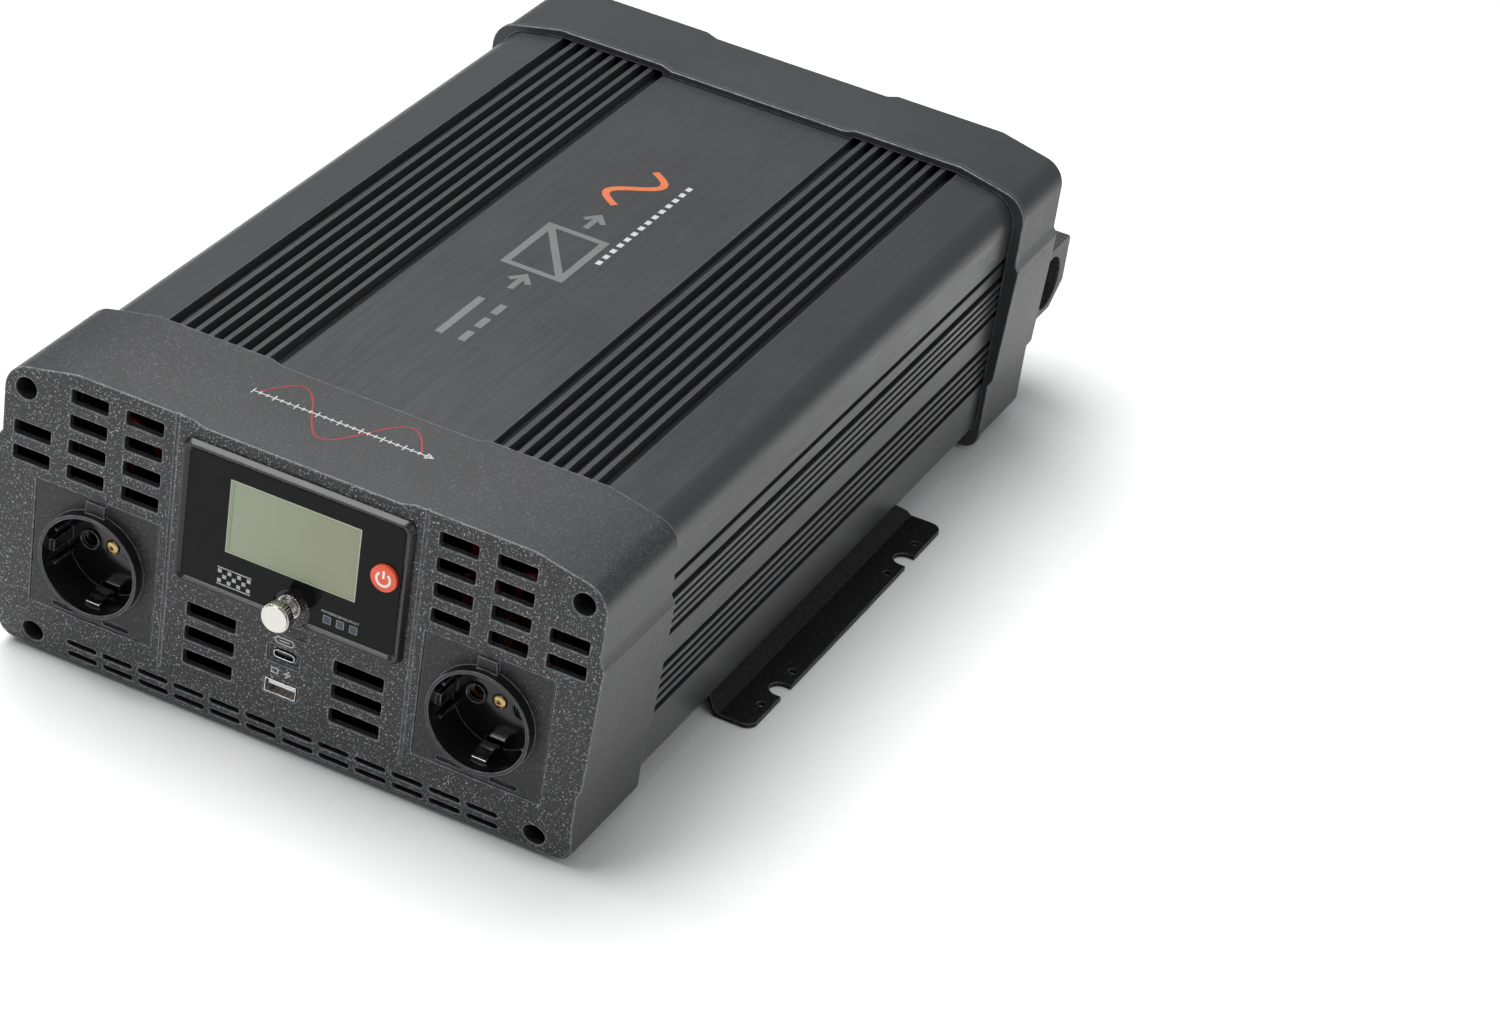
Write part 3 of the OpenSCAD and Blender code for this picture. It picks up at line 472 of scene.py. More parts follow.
def eased(source, material, width, segments=2, crease=CREASE, soft=ROUND, twin=None, cut=False):
    """A copy of a CAD piece with its corners eased, which stands for that piece.

    twin names the piece on the other side that it mirrors, and cut keeps wide faces with holes
    in triangles."""
    cad = frame["nodes"][source]
    bm = bmesh.new()
    bm.from_mesh(frame["nodes"][twin or source].data)
    if twin:
        bmesh.ops.scale(bm, vec=(-1, 1, 1), verts=bm.verts)
        bmesh.ops.reverse_faces(bm, faces=bm.faces)
    bmesh.ops.remove_doubles(bm, verts=bm.verts, dist=WELD)
    bmesh.ops.dissolve_limit(bm, angle_limit=math.radians(FLAT), verts=bm.verts, edges=bm.edges)
    if cut:
        bmesh.ops.triangulate(bm, faces=bm.faces)
    for face in bm.faces:
        face.smooth = True
    for edge in bm.edges:
        edge.smooth = not crease < math.degrees(edge.calc_face_angle(0.0)) < soft
    made = put(source + "_finished", bm, material, cad["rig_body"])
    ease = made.modifiers.new("Eased corners", "BEVEL")
    ease.width = width
    ease.segments = segments
    ease.limit_method = "ANGLE"
    ease.angle_limit = math.radians(CORNER)
    ease.use_clamp_overlap = False
    even = made.modifiers.new("Even shading", "WEIGHTED_NORMAL")
    even.keep_sharp = True
    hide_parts(source)
    return made


def paint_nodes(material, *names):
    """Gives CAD pieces a finish and leaves their meshes alone."""
    for name in names:
        mesh = frame["nodes"][name].data
        mesh.materials.clear()
        mesh.materials.append(material)


def middle(name):
    """The middle of a CAD piece's box."""
    low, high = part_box(name)
    return (low + high) / 2


def front_plane(y, x=0.0, z=0.0):
    """A plane that faces forwards."""
    return plane_at((x, y, z), (1, 0, 0), (0, 0, 1))


def plane_at(origin, across, up):
    """The matrix from millimetres on a plane to its place in the frame."""
    a, u = Vector(across).normalized(), Vector(up).normalized()
    turn = Matrix((a, u, a.cross(u))).transposed().to_4x4()
    return Matrix.Translation(Vector(origin)) @ turn @ Matrix.Scale(MM, 4)


def ribbon(bm, path, width, closed=False, layer=0):
    """A flat strip of one width along a path in the XY plane, grown edge by edge.

    Strokes that cross lie on layers of their own."""
    points = [Vector((*p, layer * LAYER)) for p in path]
    if closed:
        points = points + points[:2]
    last = len(points) - 1
    sharpest = 0.35    # keeps a tight bend's outer corner short
    ends, edge = None, None
    for k, p in enumerate(points[: last + (0 if closed else 1)]):
        before = points[k - 1] if k else (points[last - 2] if closed else p)
        after = points[k + 1] if k < last else p
        ahead, back = (after - p).normalized(), (p - before).normalized()
        run = (ahead + back).normalized()
        lean = max(sharpest, run.dot(ahead if ahead.length else back))
        side = Vector((run.y, -run.x, 0.0)) * width / 2 / lean
        places = (p - side, p + side)
        if edge is None:
            ends = [bm.verts.new(q) for q in places]
            edge = bm.edges.new(ends)
            continue
        grown = bmesh.ops.extrude_edge_only(bm, edges=[edge])["geom"]
        fresh = [g for g in grown if isinstance(g, bmesh.types.BMVert)]
        fresh.sort(key=lambda v: (v.co - ends[0].co).length)
        for v, q in zip(fresh, places):
            v.co = q
        lines = (g for g in grown if isinstance(g, bmesh.types.BMEdge))
        edge = next(line for line in lines if set(line.verts) == set(fresh))
        ends = fresh


def corners(left, low, right, high):
    """The corners of a rectangle, in turn."""
    return [(left, low), (right, low), (right, high), (left, high)]


def patch(bm, x, y, side):
    """A flat square about a point."""
    made = bmesh.ops.create_grid(bm, x_segments=1, y_segments=1, size=0.5)["verts"]
    bmesh.ops.scale(bm, vec=(side, side, 1.0), verts=made)
    bmesh.ops.translate(bm, vec=(x, y, 0.0), verts=made)


def letters(bm, words, height, x, y):
    """Flat capitals about a point."""
    capital = 0.7    # height of a capital in the font's own size
    curve = bpy.data.curves.new("letters", "FONT")
    curve.body = words
    curve.size = height / capital
    curve.resolution_u = 3
    curve.align_x, curve.align_y = "CENTER", "CENTER"
    holder = bpy.data.objects.new("letters", curve)
    bpy.context.scene.collection.objects.link(holder)
    ready = holder.evaluated_get(bpy.context.evaluated_depsgraph_get())
    mesh = bpy.data.meshes.new_from_object(ready)
    mesh.transform(Matrix.Translation((x, y, 0.0)))
    bm.from_mesh(mesh)
    bpy.data.objects.remove(holder)
    bpy.data.curves.remove(curve)
    bpy.data.meshes.remove(mesh)


def printed(name, bm, place, material, body="case", thickness=PRINT):
    """Gives flat marks their thickness and puts them on a surface."""
    bmesh.ops.remove_doubles(bm, verts=bm.verts, dist=MERGE)
    bmesh.ops.recalc_face_normals(bm, faces=bm.faces)
    for face in bm.faces:
        if face.normal.z < 0:
            face.normal_flip()
    bmesh.ops.solidify(bm, geom=bm.faces[:], thickness=-thickness)
    bmesh.ops.transform(bm, matrix=place, verts=bm.verts)
    bmesh.ops.recalc_face_normals(bm, faces=bm.faces)
    return put(name, bm, material, body)


def turned(name, profile, centre, material, body, steps):
    """A turned piece: a profile of (along, radius) in millimetres, spun about a line from front
    to back."""
    bm = bmesh.new()
    along = Vector((0, 1, 0))
    out = along.orthogonal().normalized()
    verts = [bm.verts.new(Vector(centre) + (along * a + out * r) * MM) for a, r in profile]
    edges = [bm.edges.new(pair) for pair in zip(verts, verts[1:])]
    bmesh.ops.spin(
        bm, geom=verts + edges, cent=centre, axis=along, angle=math.tau, steps=steps, use_merge=True
    )
    bmesh.ops.remove_doubles(bm, verts=bm.verts, dist=WELD)
    bmesh.ops.recalc_face_normals(bm, faces=bm.faces)
    shade_smooth(bm)
    return put(name, bm, material, body)


def block(bm, low, high):
    """Adds a box between two corners."""
    made = bmesh.ops.create_cube(bm, size=1.0)["verts"]
    low, high = Vector(low), Vector(high)
    bmesh.ops.scale(bm, vec=high - low, verts=made)
    bmesh.ops.translate(bm, vec=(low + high) / 2, verts=made)


def soften(bm, width):
    """Eases the corners of a small piece."""
    sharp = [e for e in bm.edges if math.degrees(e.calc_face_angle(0.0)) > CORNER]
    bmesh.ops.bevel(bm, geom=sharp, offset=width, segments=2, affect="EDGES", profile=0.5, material=-1)
    shade_smooth(bm)


class Step:
    """What every operator here has in common."""

    bl_options = {"REGISTER", "UNDO"}


class INVERTER_OT_body(Step, bpy.types.Operator):
    """Finish the extruded body and its base plate"""

    bl_idname = "inverter.body"
    bl_label = "Body"

    def execute(self, context):
        s = context.scene.inverter_case
        # edge sets the painted highlight on the ribs' corners, seven times paler than the coat
        coat = surface(
            "satin_coat", s.paint, 0.34, grain=0.00045, depth=0.000006, tone=0.05, highlight=0.5, vary=0.08,
            lines=(1.0, 0.03, 1.0), radius=0.0006, edge=7.0,
        )
        eased("body_extrusion", coat, 0.00028)
        under = surface("base_coat", shade(s.paint, 0.6), 0.5, grain=0.0006, depth=0.00004, highlight=0.4)
        paint_nodes(under, "base_plate")
        return {"FINISHED"}


class INVERTER_OT_end_caps(Step, bpy.types.Operator):
    """Finish the moulded front and rear caps"""

    bl_idname = "inverter.end_caps"
    bl_label = "End caps"

    def execute(self, context):
        s = context.scene.inverter_case
        # edge sets the painted highlight along the caps' corners, eighteen times paler than the plastic
        finish = {"tone": 0.06, "highlight": 0.8, "vary": 0.1, "radius": 0.0009, "edge": 18.0}
        sparked = surface(
            "front_moulding", s.plastic, 0.38, grain=s.grain, depth=0.00014, glint=0.75, front=True,
            **finish,
        )
        satin = surface("rear_moulding", s.plastic, 0.4, grain=s.grain, depth=0.00002, **finish)
        eased("front_bezel", sparked, s.edge)
        eased("rear_cap", satin, s.edge)
        return {"FINISHED"}


def print_panel(tall, grey, orange, pale):
    """Direct current in, the inverter and alternating current out, read from the body's right.

    Sizes are in millimetres along the body and across it."""
    side, along, sunk = -0.006, 0.146, 0.00118
    cap_end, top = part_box("front_bezel")[1].y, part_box("body_extrusion")[1].z
    panel = plane_at((side, cap_end + along, top - sunk), (0, 1, 0), (-1, 0, 0))
    stroke, apart = tall * 0.13, tall * 0.2
    bm = bmesh.new()
    start, end, dash, pitch = -84, -50, 8.6, 12.7
    ribbon(bm, [(start, apart), (end, apart)], stroke)
    for k in range(3):
        x = start + k * pitch
        ribbon(bm, [(x, -apart), (x + dash, -apart)], stroke)
    half, wide = tall / 2, tall * 0.78
    ribbon(bm, corners(-wide, -half, wide, half), stroke, closed=True)
    ribbon(bm, [(-wide, -half), (wide, half)], stroke, layer=1)
    for x in (-31, 31):
        ribbon(bm, [(x - 6, 0), (x + 6, 0)], stroke * 0.8)
        ribbon(bm, [(x + 1, 4.2), (x + 6.5, 0), (x + 1, -4.2)], stroke * 0.8, layer=1)
    printed("panel_symbols", bm, panel, grey)
    bm = bmesh.new()
    start, run, swing, steps = 50, 36, tall * 0.34, 28
    wave = [(start + run * t / steps, swing * math.sin(math.tau * t / steps)) for t in range(steps + 1)]
    ribbon(bm, wave, stroke)
    printed("panel_wave", bm, panel, orange)
    bm = bmesh.new()
    start, end, pitch, below = 2, 5.4, 6, -tall * 0.5 - 5.4
    for k in range(14):
        ribbon(bm, [(start + pitch * k, below), (end + pitch * k, below)], 2.2)
    printed("panel_scale", bm, panel, pale)


def print_cap(waves, red, pale):
    """A sine curve over its axis, on the front cap's sunk section, in millimetres."""
    side, back, height = -0.0045, 0.0335, 0.12502
    top = plane_at((side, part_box("front_bezel")[0].y + back, height), (1, 0, 0), (0, 1, 0))
    bm = bmesh.new()
    reach, swing, steps = 34, 13.5, 18 * waves
    curve = [
        (-reach + 2 * reach * t / steps, swing * math.sin(math.pi * waves * t / steps))
        for t in range(steps + 1)
    ]
    ribbon(bm, curve, 0.6)
    printed("sine_curve", bm, top, red)
    bm = bmesh.new()
    line, end, pitch, marks = 0.55, 38, 3, 12
    ribbon(bm, [(-end, 0), (end, 0)], line)
    for k in range(-marks, marks + 1):
        tall = 1.9 if k % 3 == 0 else 1.1
        ribbon(bm, [(k * pitch, -tall), (k * pitch, tall)], line, layer=1)
    ribbon(bm, [(end - 2, 1.7), (end + 0.6, 0), (end - 2, -1.7)], line, layer=2)
    printed("sine_axis", bm, top, pale, thickness=PRINT * 1.3)


def print_ports(pale):
    """An oval over the small port, and a rectangle and a bolt over the large one, in millimetres."""
    line, reach, radius = 0.5, 2.6, 1.3
    bm = bmesh.new()
    port = middle("usb_c_shell")
    x, z = port.x / MM, port.z / MM + 6.4
    oval = [(x - reach + radius * math.cos(a), z + radius * math.sin(a)) for a in arc(90, 270, 8)]
    oval += [(x + reach + radius * math.cos(a), z + radius * math.sin(a)) for a in arc(-90, 90, 8)]
    ribbon(bm, oval, line, closed=True)
    ribbon(bm, [(x - 2.0, z), (x + 2.0, z)], line)
    port = middle("usb_a_shell")
    x, z = port.x / MM, port.z / MM
    ribbon(bm, corners(x - 4.2, z + 6.1, x - 1.6, z + 8.1), line, closed=True)
    ribbon(bm, [(x + 3.2, z + 8.6), (x + 1.2, z + 7.0), (x + 3.4, z + 7.2), (x + 1.6, z + 5.5)], 0.6)
    printed("port_symbols", bm, front_plane(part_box("front_bezel")[0].y - PROUD), pale)


class INVERTER_OT_marks(Step, bpy.types.Operator):
    """Print the symbols on the body, the front cap and the ports"""

    bl_idname = "inverter.marks"
    bl_label = "Printed marks"

    def execute(self, context):
        s = context.scene.inverter_marks
        grey, orange, pale = (ink(f"{name}_ink", getattr(s, name)) for name in ("grey", "orange", "pale"))
        red = ink("red_ink", s.red, 0.4)
        print_panel(s.height / MM, grey, orange, pale)
        print_cap(s.waves, red, pale)
        print_ports(pale)
        return {"FINISHED"}


def arc(start, stop, steps):
    return [math.radians(start + (stop - start) * k / steps) for k in range(steps + 1)]


class INVERTER_OT_display(Step, bpy.types.Operator):
    """Finish the display, its lens and symbols, and the power button"""

    bl_idname = "inverter.display"
    bl_label = "Display"

    def execute(self, context):
        s = context.scene.inverter_display
        pale = bpy.data.materials["pale_ink"]
        # edge sets the bright painted highlight on the frame's bevels
        rim = surface(
            "frame_moulding", (0.01, 0.01, 0.0105), 0.26, grain=0.0006, depth=0.00002, highlight=0.9,
            tone=0.05, edge=45.0, radius=0.00045,
        )
        eased("display_frame", rim, 0.00022, crease=20.0)
        lens = surface(
            "lens_gloss", s.glass, 0.06, tone=0.2, highlight=0.0, vary=0.3, grain=0.004, depth=0.000001,
            Specular_IOR_Level=0.12,
        )
        paint_nodes(lens, "display_lens")
        paint_nodes(lcd_material(s.lcd), "lcd_panel")
        window = surface("led_window", (0.03, 0.035, 0.06), 0.15, grain=0.0005, depth=0.00001, highlight=0.0)
        paint_nodes(window, "status_leds")
        # pale edges of the LCD cell, and the inner edge that shows beside its left side
        low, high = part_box("lcd_panel")
        left, bottom, right, top = low.x / MM, low.z / MM, high.x / MM, high.z / MM
        bm = bmesh.new()
        ribbon(bm, corners(left, bottom, right, top), 0.35, closed=True)
        pale_edge = surface("cell_edge", (0.5, 0.56, 0.42), 0.15, highlight=0.0)
        printed("lcd_edge", bm, front_plane(low.y - 0.00012), pale_edge)
        bm = bmesh.new()
        inner, gap = left + 1.3, 0.2
        ribbon(bm, [(inner, bottom + gap), (inner, top - gap)], 0.25)
        dim_line = surface("cell_line", (0.2, 0.24, 0.15), 0.2, highlight=0.0)
        printed("lcd_inner_edge", bm, front_plane(low.y), dim_line)
        self.print_lens(pale)
        self.make_button(s.button)
        switch = surface("switch_black", (0.02, 0.02, 0.02), 0.4, grain=0.0005, depth=0.00002, highlight=0.3)
        paint_nodes(switch, "button_switch")
        return {"FINISHED"}

    def print_lens(self, pale):
        """A chequer between two lines, and a frame and a word for each window, in millimetres."""
        bm = bmesh.new()
        left, bottom, wide, tall = -29.4, 64.6, 14.2, 7.0
        line, square, cells, rows = 0.45, 1.55, 7, 3
        for z in (bottom, bottom + tall):
            ribbon(bm, [(left, z), (left + wide, z)], line)
        for i in range(cells):
            for j in range(rows):
                if (i + j) % 2 == 0:
                    x = left + wide * (i + 0.5) / cells
                    patch(bm, x, bottom + line + (tall - 2 * line) * (j + 0.5) / rows, square)
        half, above, height = 1.4, 3.1, 1.05
        for x, z in led_places():
            ribbon(bm, corners(x - half, z - half, x + half, z + half), 0.35, closed=True)
        for (x, z), word in zip(led_places(), ("POWER", "NORMAL", "FAULT")):
            letters(bm, word, height, x, z + above)
        printed("display_symbols", bm, front_plane(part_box("display_lens")[0].y - PROUD), pale)

    def make_button(self, base):
        """The power button with its symbol."""
        moulding = surface(
            "button_moulding", base, 0.28, tone=0.08, highlight=0.5, grain=0.0008, depth=0.00001,
            Subsurface_Weight=0.15, Subsurface_Scale=0.002, radius=0.0008,
        )
        eased("power_button", moulding, 0.0005, segments=3)
        low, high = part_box("power_button")
        bm = bmesh.new()
        radius, line = 2.75, 1.0
        ring = [(radius * math.sin(a), -0.15 - radius * math.cos(a)) for a in arc(-142, 142, 24)]
        ribbon(bm, ring, line)
        ribbon(bm, [(0, 0.2), (0, 3.3)], line)
        place = front_plane(low.y, (low.x + high.x) / 2, (low.z + high.z) / 2)
        printed("button_symbol", bm, place, ink("button_ink", (0.86, 0.8, 0.76), 0.3), body="button")


def led_places():
    """The three windows' middles, in millimetres."""
    low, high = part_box("status_leds")
    half = (high.z - low.z) / 2
    z = (low.z + high.z) / 2
    return [(x / MM, z / MM) for x in (low.x + half, (low.x + high.x) / 2, high.x - half)]


def lcd_material(base):
    """Unlit LCD: grey green, a little warmer to the right, under clear glass."""
    made, tree, sockets, vector = empty_material("lcd_cell", 0.22, Specular_IOR_Level=0.35)
    place = node(tree, "SeparateXYZ", {"Vector": vector})
    across = span(tree, place.outputs["X"], -0.03, 0.03)
    paint = blend_colour(tree, across, shade(base, 1.04), (base[0] * 0.96, base[1] * 0.9, base[2] * 0.84))
    tones = effect(tree, "Handling", Vector=vector, Scale=60.0)["Tone"]
    paint = blend_colour(tree, times(tree, tones, 0.08), paint, shade(base, 0.8))
    tree.links.new(paint, sockets["Base Color"])
    tree.links.new(span(tree, tones, 0.0, 1.0, 0.18, 0.26), sockets["Roughness"])
    return made


class INVERTER_OT_sockets(Step, bpy.types.Operator):
    """Finish the mains sockets with their contacts, clips and screws"""

    bl_idname = "inverter.sockets"
    bl_label = "Mains sockets"

    def execute(self, context):
        s = context.scene.inverter_sockets
        brass = metal("brass", (0.5, 0.36, 0.16), 0.26)
        bright = metal("bright_spring", (0.78, 0.78, 0.77), 0.14)
        # the recess, and its ribs and pin holes from its axis
        radius, depth, rib_x, rib_z, pin_x = 0.02112, 0.0175, 0.0171, 7.2, 0.0095
        screw = [(0.3, 3.1), (0.0, 3.1), (-0.5, 2.9), (-0.9, 2.3), (-0.9, 1.0), (0.0, 1.0), (0.0, 0.0)]
        collar = [(0.2, 3.3), (-0.9, 3.5), (-1.1, 3.8), (-0.9, 4.1), (0.2, 4.4)]
        steps = 32
        for side, twin in (("left", None), ("right", "socket_left")):
            # the plate is square, so its box gives the socket's axis
            centre = middle(f"socket_{side}")
            plastic = two_zone(
                f"socket_plastic_{side}", s.body, (centre.x, centre.z), radius, 0.0005, 0.00012, 0.45,
                s.gloss, Specular_IOR_Level=0.5,
            )
            eased(f"socket_{side}", plastic, 0.00025, twin=twin, cut=True)
            eased(f"earth_clips_{side}", bright, 0.00012)
            paint_nodes(brass, f"contacts_{side}")
            floor_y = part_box(f"socket_{side}")[0].y + depth
            hub = Vector((centre.x, floor_y, centre.z))
            turned(f"socket_screw_{side}", screw, hub, brass, "case", steps)
            # ribs that guide the plug, and a raised boss round each pin hole
            bm = bmesh.new()
            for k in (-1, 1):
                for z in (-rib_z, rib_z):
                    x = centre.x + k * rib_x
                    block(
                        bm, (x - 0.0007, floor_y - 0.0125, centre.z + (z - 0.55) * MM),
                        (x + 0.0007, floor_y - 0.0002, centre.z + (z + 0.55) * MM),
                    )
            soften(bm, 0.00015)
            put(f"socket_ribs_{side}", bm, plastic, "case")
            for k, name in ((-1, "a"), (1, "b")):
                pin = hub + Vector((k * pin_x, 0, 0))
                boss = f"socket_pin_collar_{side}_{name}"
                turned(boss, collar, pin, plastic, "case", steps)
        return {"FINISHED"}


class INVERTER_OT_ports(Step, bpy.types.Operator):
    """Finish the USB ports with their contacts"""

    bl_idname = "inverter.ports"
    bl_label = "USB ports"

    def execute(self, context):
        forwards = (1.0, 0.05, 1.0)
        shell = metal("port_shell", (0.7, 0.7, 0.71), 0.2, lines=forwards)
        gold = metal("gold_contact", (0.85, 0.6, 0.25), 0.2, lines=forwards)
        eased("usb_a_shell", shell, 0.00012)
        eased("usb_c_shell", shell, 0.0001)
        moulded = {"grain": 0.0005, "depth": 0.00001}
        white = surface("port_white", (0.78, 0.78, 0.76), 0.35, highlight=0.0, tone=0.05, **moulded)
        black = surface("port_black", (0.02, 0.02, 0.021), 0.4, highlight=0.3, **moulded)
        eased("usb_a_tongue", white, 0.00015)
        eased("usb_c_tongue", black, 0.0001)
        # flat contacts
        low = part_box("usb_a_tongue")[0]
        under = middle("usb_a_shell").z + 0.00015
        bm = bmesh.new()
        for k in range(4):
            x = middle("usb_a_tongue").x + (k - 1.5) * 0.00235
            block(
                bm, (x - 0.00055, low.y + 0.0002, under - 0.00012),
                (x + 0.00055, low.y + 0.0068, under + 0.0001),
            )
        soften(bm, 0.00005)
        put("usb_a_contacts", bm, gold, "case")
        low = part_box("usb_c_tongue")[0]
        mid = middle("usb_c_tongue")
        bm = bmesh.new()
        for k in range(8):
            x = mid.x + (k - 3.5) * 0.00072
            block(
                bm, (x - 0.0002, low.y + 0.0002, mid.z + 0.00034),
                (x + 0.0002, low.y + 0.004, mid.z + 0.00042),
            )
        put("usb_c_contacts", bm, gold, "case")
        return {"FINISHED"}


class INVERTER_OT_earth_terminal(Step, bpy.types.Operator):
    """Finish the knurled earth terminal"""

    bl_idname = "inverter.earth_terminal"
    bl_label = "Earth terminal"

    def execute(self, context):
        nickel = surface(
            "bright_nickel", (0.62, 0.605, 0.575), 0.2, grain=0.002, depth=0.000002, tone=0.05,
            highlight=0.2, edge=1.3, vary=0.2, Metallic=1.0,
        )
        for name in ("ground_post", "ground_washer", "ground_screw"):
            eased(name, nickel, 0.00012, crease=40.0, soft=41.0)
        return {"FINISHED"}


class INVERTER_OT_fasteners(Step, bpy.types.Operator):
    """Finish the screws"""

    bl_idname = "inverter.fasteners"
    bl_label = "Screws"

    def execute(self, context):
        zinc = metal("zinc_screw", (0.34, 0.34, 0.35), 0.34)
        for name in ("front_screws", "rear_screws", "bracket_screws", "fan_screws"):
            eased(name, zinc, 0.00015)
        return {"FINISHED"}


class INVERTER_OT_brackets(Step, bpy.types.Operator):
    """Finish the mounting brackets"""

    bl_idname = "inverter.brackets"
    bl_label = "Brackets"

    def execute(self, context):
        # edge sets the painted highlight along the brackets' corners, forty times paler than the coat
        coat = surface(
            "bracket_coat", context.scene.inverter_case.bracket, 0.45, grain=0.0005, depth=0.00008,
            glint=0.1, highlight=0.8, tone=0.1, edge=40.0, Specular_IOR_Level=0.15,
        )
        for side in ("left", "right"):
            eased(f"bracket_{side}", coat, 0.0003)
        return {"FINISHED"}


class INVERTER_OT_battery_terminals(Step, bpy.types.Operator):
    """Finish the battery terminals and their housings"""

    bl_idname = "inverter.battery_terminals"
    bl_label = "Battery terminals"

    def execute(self, context):
        plastic = surface(
            "housing_moulding", (0.026, 0.026, 0.028), 0.45, grain=0.0007, depth=0.00012, glint=0.3,
            highlight=0.45,
        )
        soft = {"grain": 0.0006, "depth": 0.00005, "highlight": 0.2}
        rubber = surface("grommet_rubber", (0.014, 0.014, 0.014), 0.62, **soft)
        black = metal("black_bolt", (0.11, 0.11, 0.115), 0.3)
        brass = metal("terminal_brass", (0.62, 0.45, 0.2), 0.3)
        zinc = metal("zinc_washer", (0.55, 0.55, 0.56), 0.28)
        pale = bpy.data.materials["pale_ink"]
        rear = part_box("terminal_housing_right")[1].y
        ring = [
            (-2.9, 7.4), (-2.9, 6.3), (-1.2, 5.9), (-0.1, 6.1), (-0.02, 8.3), (-0.6, 9.0), (-0.6, 7.4)
        ]
        hole_x, steps, line = 0.006, 40, 1.2
        for side, k in (("left", -1), ("right", 1)):
            eased(f"terminal_housing_{side}", plastic, 0.0004, cut=True)
            eased(f"terminal_block_{side}", brass, 0.0003)
            eased(f"terminal_washer_{side}", zinc, 0.0002)
            eased(f"terminal_bolt_{side}", black, 0.0002, crease=20.0)
            # the cable's hole lies outwards of the brass block
            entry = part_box(f"terminal_block_{side}")
            face = entry[1].x if k > 0 else entry[0].x
            bolt_z = middle(f"terminal_bolt_{side}").z
            centre = Vector((face + k * hole_x, rear, bolt_z))
            turned(f"cable_grommet_{side}", ring, centre, rubber, "case", steps)
            bm = bmesh.new()
            ribbon(bm, [(-3, 0), (3, 0)], line)
            if k > 0:
                ribbon(bm, [(0, 0.6), (0, 3)], line)
                ribbon(bm, [(0, -3), (0, -0.6)], line)
            low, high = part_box(f"terminal_housing_{side}")
            spot = Vector(((low.x + high.x) / 2, (low.y + high.y) / 2, high.z + PROUD))
            printed(f"polarity_{side}", bm, plane_at(spot, (1, 0, 0), (0, 1, 0)), pale)
        return {"FINISHED"}


class INVERTER_OT_fans(Step, bpy.types.Operator):
    """Finish the cooling fans and their guards"""

    bl_idname = "inverter.fans"
    bl_label = "Fans"

    def execute(self, context):
        dark = surface("fan_moulding", (0.018, 0.018, 0.019), 0.42, grain=0.0006, depth=0.00004, highlight=0.4)
        guard = metal("guard_wire", (0.6, 0.6, 0.61), 0.2)
        steel = metal("hub_disc", (0.5, 0.5, 0.51), 0.36)
        disc = [(-0.1, 0.0), (0.16, 0.0), (0.16, 9.2), (0.05, 9.5), (-0.1, 9.5)]
        steps = 40
        for side in ("left", "right"):
            eased(f"fan_frame_{side}", dark, 0.0003)
            paint_nodes(dark, f"fan_rotor_{side}")
            low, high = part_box(f"fan_rotor_{side}")
            centre = Vector(((low.x + high.x) / 2, high.y, (low.z + high.z) / 2))
            turned(f"fan_hub_disc_{side}", disc, centre, steel, f"fan_{side}", steps)
        paint_nodes(guard, "fan_guards")
        return {"FINISHED"}


class INVERTER_OT_electronics(Step, bpy.types.Operator):
    """Finish the boards, wires and components inside"""

    bl_idname = "inverter.electronics"
    bl_label = "Electronics"

    def execute(self, context):
        finishes = (
            (
                surface(
                    "solder_mask", (0.012, 0.07, 0.03), 0.32, grain=0.0012, depth=0.00002, tone=0.3,
                    highlight=0.4,
                ),
                "display_board", "port_board", "main_board",
            ),
            (
                surface("ferrite", (0.05, 0.047, 0.046), 0.65, grain=0.0006, depth=0.00008, highlight=0.6),
                "transformer_cores", "choke_core",
            ),
            (
                surface("winding_tape", (0.5, 0.3, 0.06), 0.35, grain=0.002, depth=0.00004),
                "transformer_windings",
            ),
            (surface("can_sleeve", (0.02, 0.045, 0.12), 0.25, grain=0.003, depth=0.00001), "capacitors"),
            (surface("epoxy", (0.018, 0.018, 0.018), 0.45, grain=0.0005, depth=0.00004), "mosfets"),
            (metal("bar_aluminium", (0.66, 0.67, 0.68), 0.34, lines=(1.0, 0.03, 1.0)), "heat_bars"),
            (metal("brass_pillar", (0.66, 0.49, 0.22), 0.3), "standoffs"),
            (
                surface(
                    "enamelled_copper", (0.42, 0.13, 0.03), 0.22, lines=(1.0, 1.0, 0.1), Metallic=0.6
                ),
                "choke_winding",
            ),
            # darker than bare red insulation, as painted shade for wires deep inside the case
            (surface("red_wire", (0.16, 0.004, 0.005), 0.4, grain=0.001, depth=0.00002), "socket_wires"),
        )
        for finish, *names in finishes:
            paint_nodes(finish, *names)
        return {"FINISHED"}


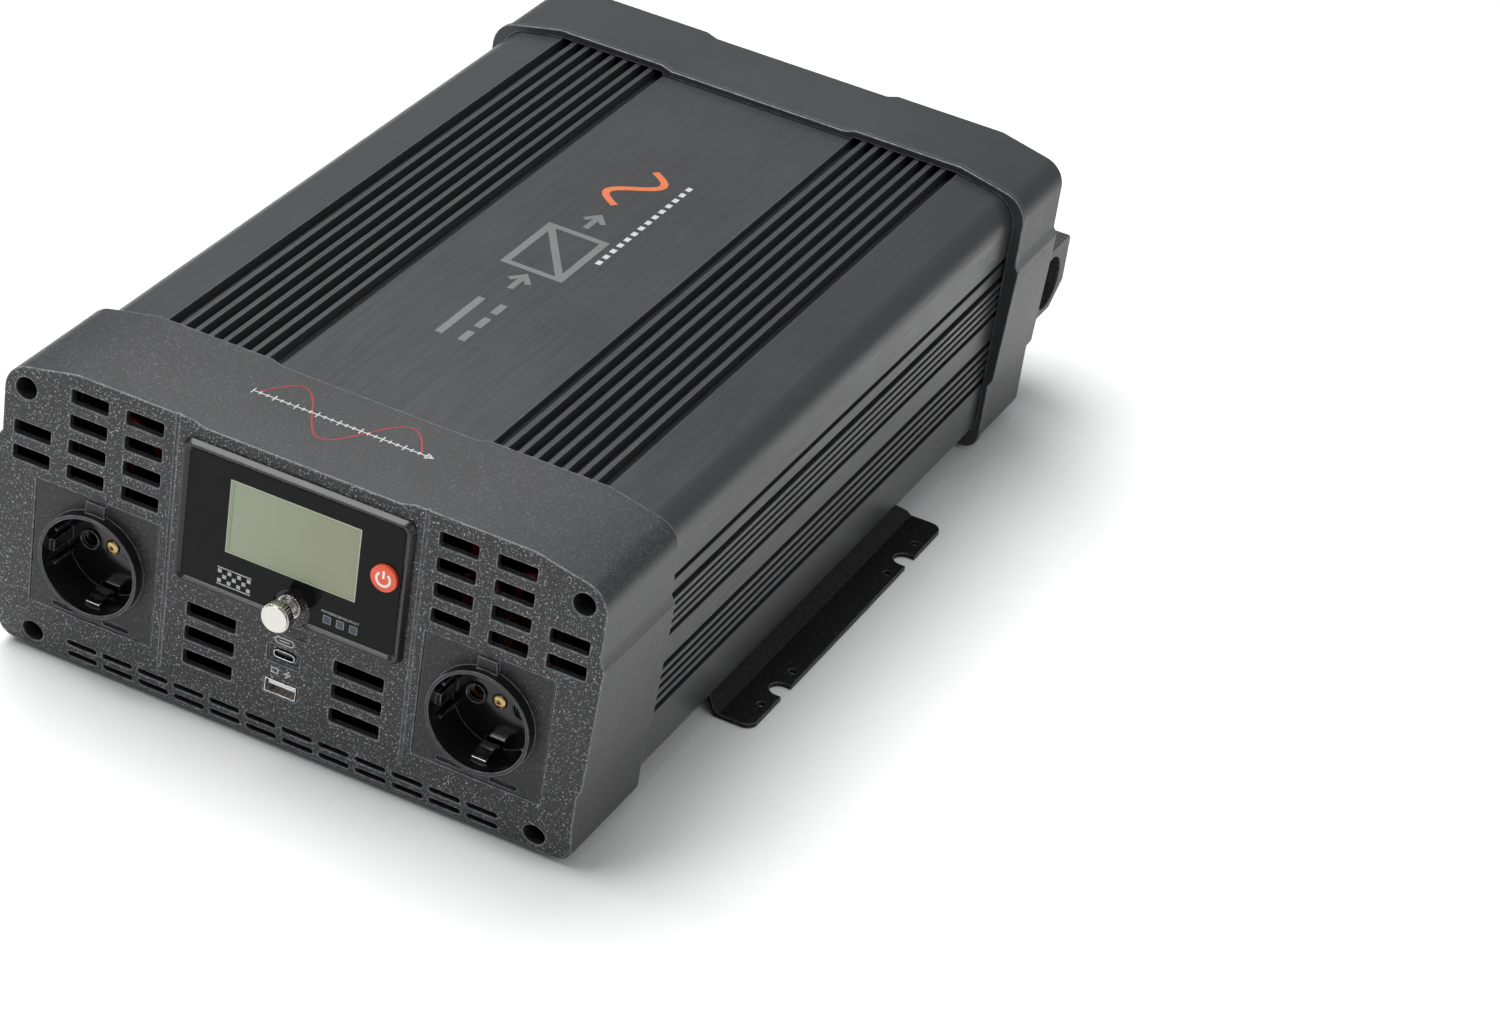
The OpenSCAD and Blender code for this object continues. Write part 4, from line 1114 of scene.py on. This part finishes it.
class INVERTER_OT_stage(Step, bpy.types.Operator):
    """Set up the floor, the lights and the camera"""

    bl_idname = "inverter.stage"
    bl_label = "Stage"

    def execute(self, context):
        s, scene = context.scene.inverter_stage, context.scene
        scene.view_settings.view_transform = "Standard"
        bm = bmesh.new()
        bmesh.ops.create_grid(bm, x_segments=1, y_segments=1, size=6.0)
        mesh = bpy.data.meshes.new("floor")
        bm.to_mesh(mesh)
        bm.free()
        even = {"tone": 0.01, "highlight": 0.0, "vary": 0.05, "grain": 0.01, "depth": 0.00001}
        mesh.materials.append(surface("studio_floor", s.floor, 0.6, **even))
        floor = bpy.data.objects.new("floor", mesh)
        scene.collection.objects.link(floor)
        world = bpy.data.worlds.new("white_room")
        world.use_nodes = True
        sky = next(n for n in world.node_tree.nodes if n.type == "BACKGROUND")
        sky.inputs["Color"].default_value = (0.97, 0.985, 1.0, 1.0)
        sky.inputs["Strength"].default_value = s.room
        scene.world = world
        centre = (cad_box[0] + cad_box[1]) / 2
        edge_share = 1.6
        lamps = (
            ("key", (-0.5, 0.15, 1.55), (1.5, 1.2), s.key),
            ("fill", (1.25, -0.35, 0.8), (0.9, 0.9), s.fill),
            ("edge", (-0.55, -0.9, 1.3), (0.6, 0.4), s.fill * edge_share),
        )
        for name, place, size, power in lamps:
            data = bpy.data.lights.new(name, "AREA")
            data.shape, data.size, data.size_y, data.energy = "RECTANGLE", size[0], size[1], power
            lamp = bpy.data.objects.new(name, data)
            lamp.location = place
            lamp.rotation_mode = "QUATERNION"
            lamp.rotation_quaternion = (centre - Vector(place)).to_track_quat("-Z", "Y")
            scene.collection.objects.link(lamp)
        # camera
        a, e = s.azimuth, s.elevation
        back = Vector((math.sin(a) * math.cos(e), -math.cos(a) * math.cos(e), math.sin(e)))
        across = Vector((0, 0, 1)).cross(back).normalized()
        up = back.cross(across)
        x = across * math.cos(s.roll) + up * math.sin(s.roll)
        y = up * math.cos(s.roll) - across * math.sin(s.roll)
        data = bpy.data.cameras.new("camera")
        sensor, reach = 36.0, 50.0
        data.lens, data.sensor_width, data.clip_end = s.lens, sensor, reach
        camera = bpy.data.objects.new("camera", data)
        turn = Matrix((x, y, back)).transposed().to_4x4()
        camera.matrix_world = Matrix.Translation(Vector(s.target) + back * s.distance) @ turn
        scene.collection.objects.link(camera)
        scene.camera = camera
        return {"FINISHED"}


STEPS = (
    INVERTER_OT_body,
    INVERTER_OT_end_caps,
    INVERTER_OT_marks,
    INVERTER_OT_display,
    INVERTER_OT_sockets,
    INVERTER_OT_ports,
    INVERTER_OT_earth_terminal,
    INVERTER_OT_fasteners,
    INVERTER_OT_brackets,
    INVERTER_OT_battery_terminals,
    INVERTER_OT_fans,
    INVERTER_OT_electronics,
    INVERTER_OT_stage,
)


class INVERTER_PT_sidebar(bpy.types.Panel):
    """The steps that dress the inverter, and their settings"""

    bl_idname = "INVERTER_PT_sidebar"
    bl_label = "Power Inverter"
    bl_space_type = "VIEW_3D"
    bl_region_type = "UI"
    bl_category = "Inverter"

    def draw(self, context):
        for step in STEPS:
            self.layout.operator(step.bl_idname)
        for name, group in SETTINGS.items():
            box = self.layout.box()
            for key in group.__annotations__:
                box.prop(getattr(context.scene, name), key)


def register():
    for name, group in SETTINGS.items():
        bpy.utils.register_class(group)
        setattr(bpy.types.Scene, name, PointerProperty(type=group))
    for step in (*STEPS, INVERTER_PT_sidebar):
        bpy.utils.register_class(step)


def unregister():
    for step in reversed((*STEPS, INVERTER_PT_sidebar)):
        bpy.utils.unregister_class(step)
    for name, group in SETTINGS.items():
        delattr(bpy.types.Scene, name)
        bpy.utils.unregister_class(group)


def main():
    register()
    for step in STEPS:
        area, _, name = step.bl_idname.partition(".")
        getattr(getattr(bpy.ops, area), name)()


if __name__ == "__main__":
    main()
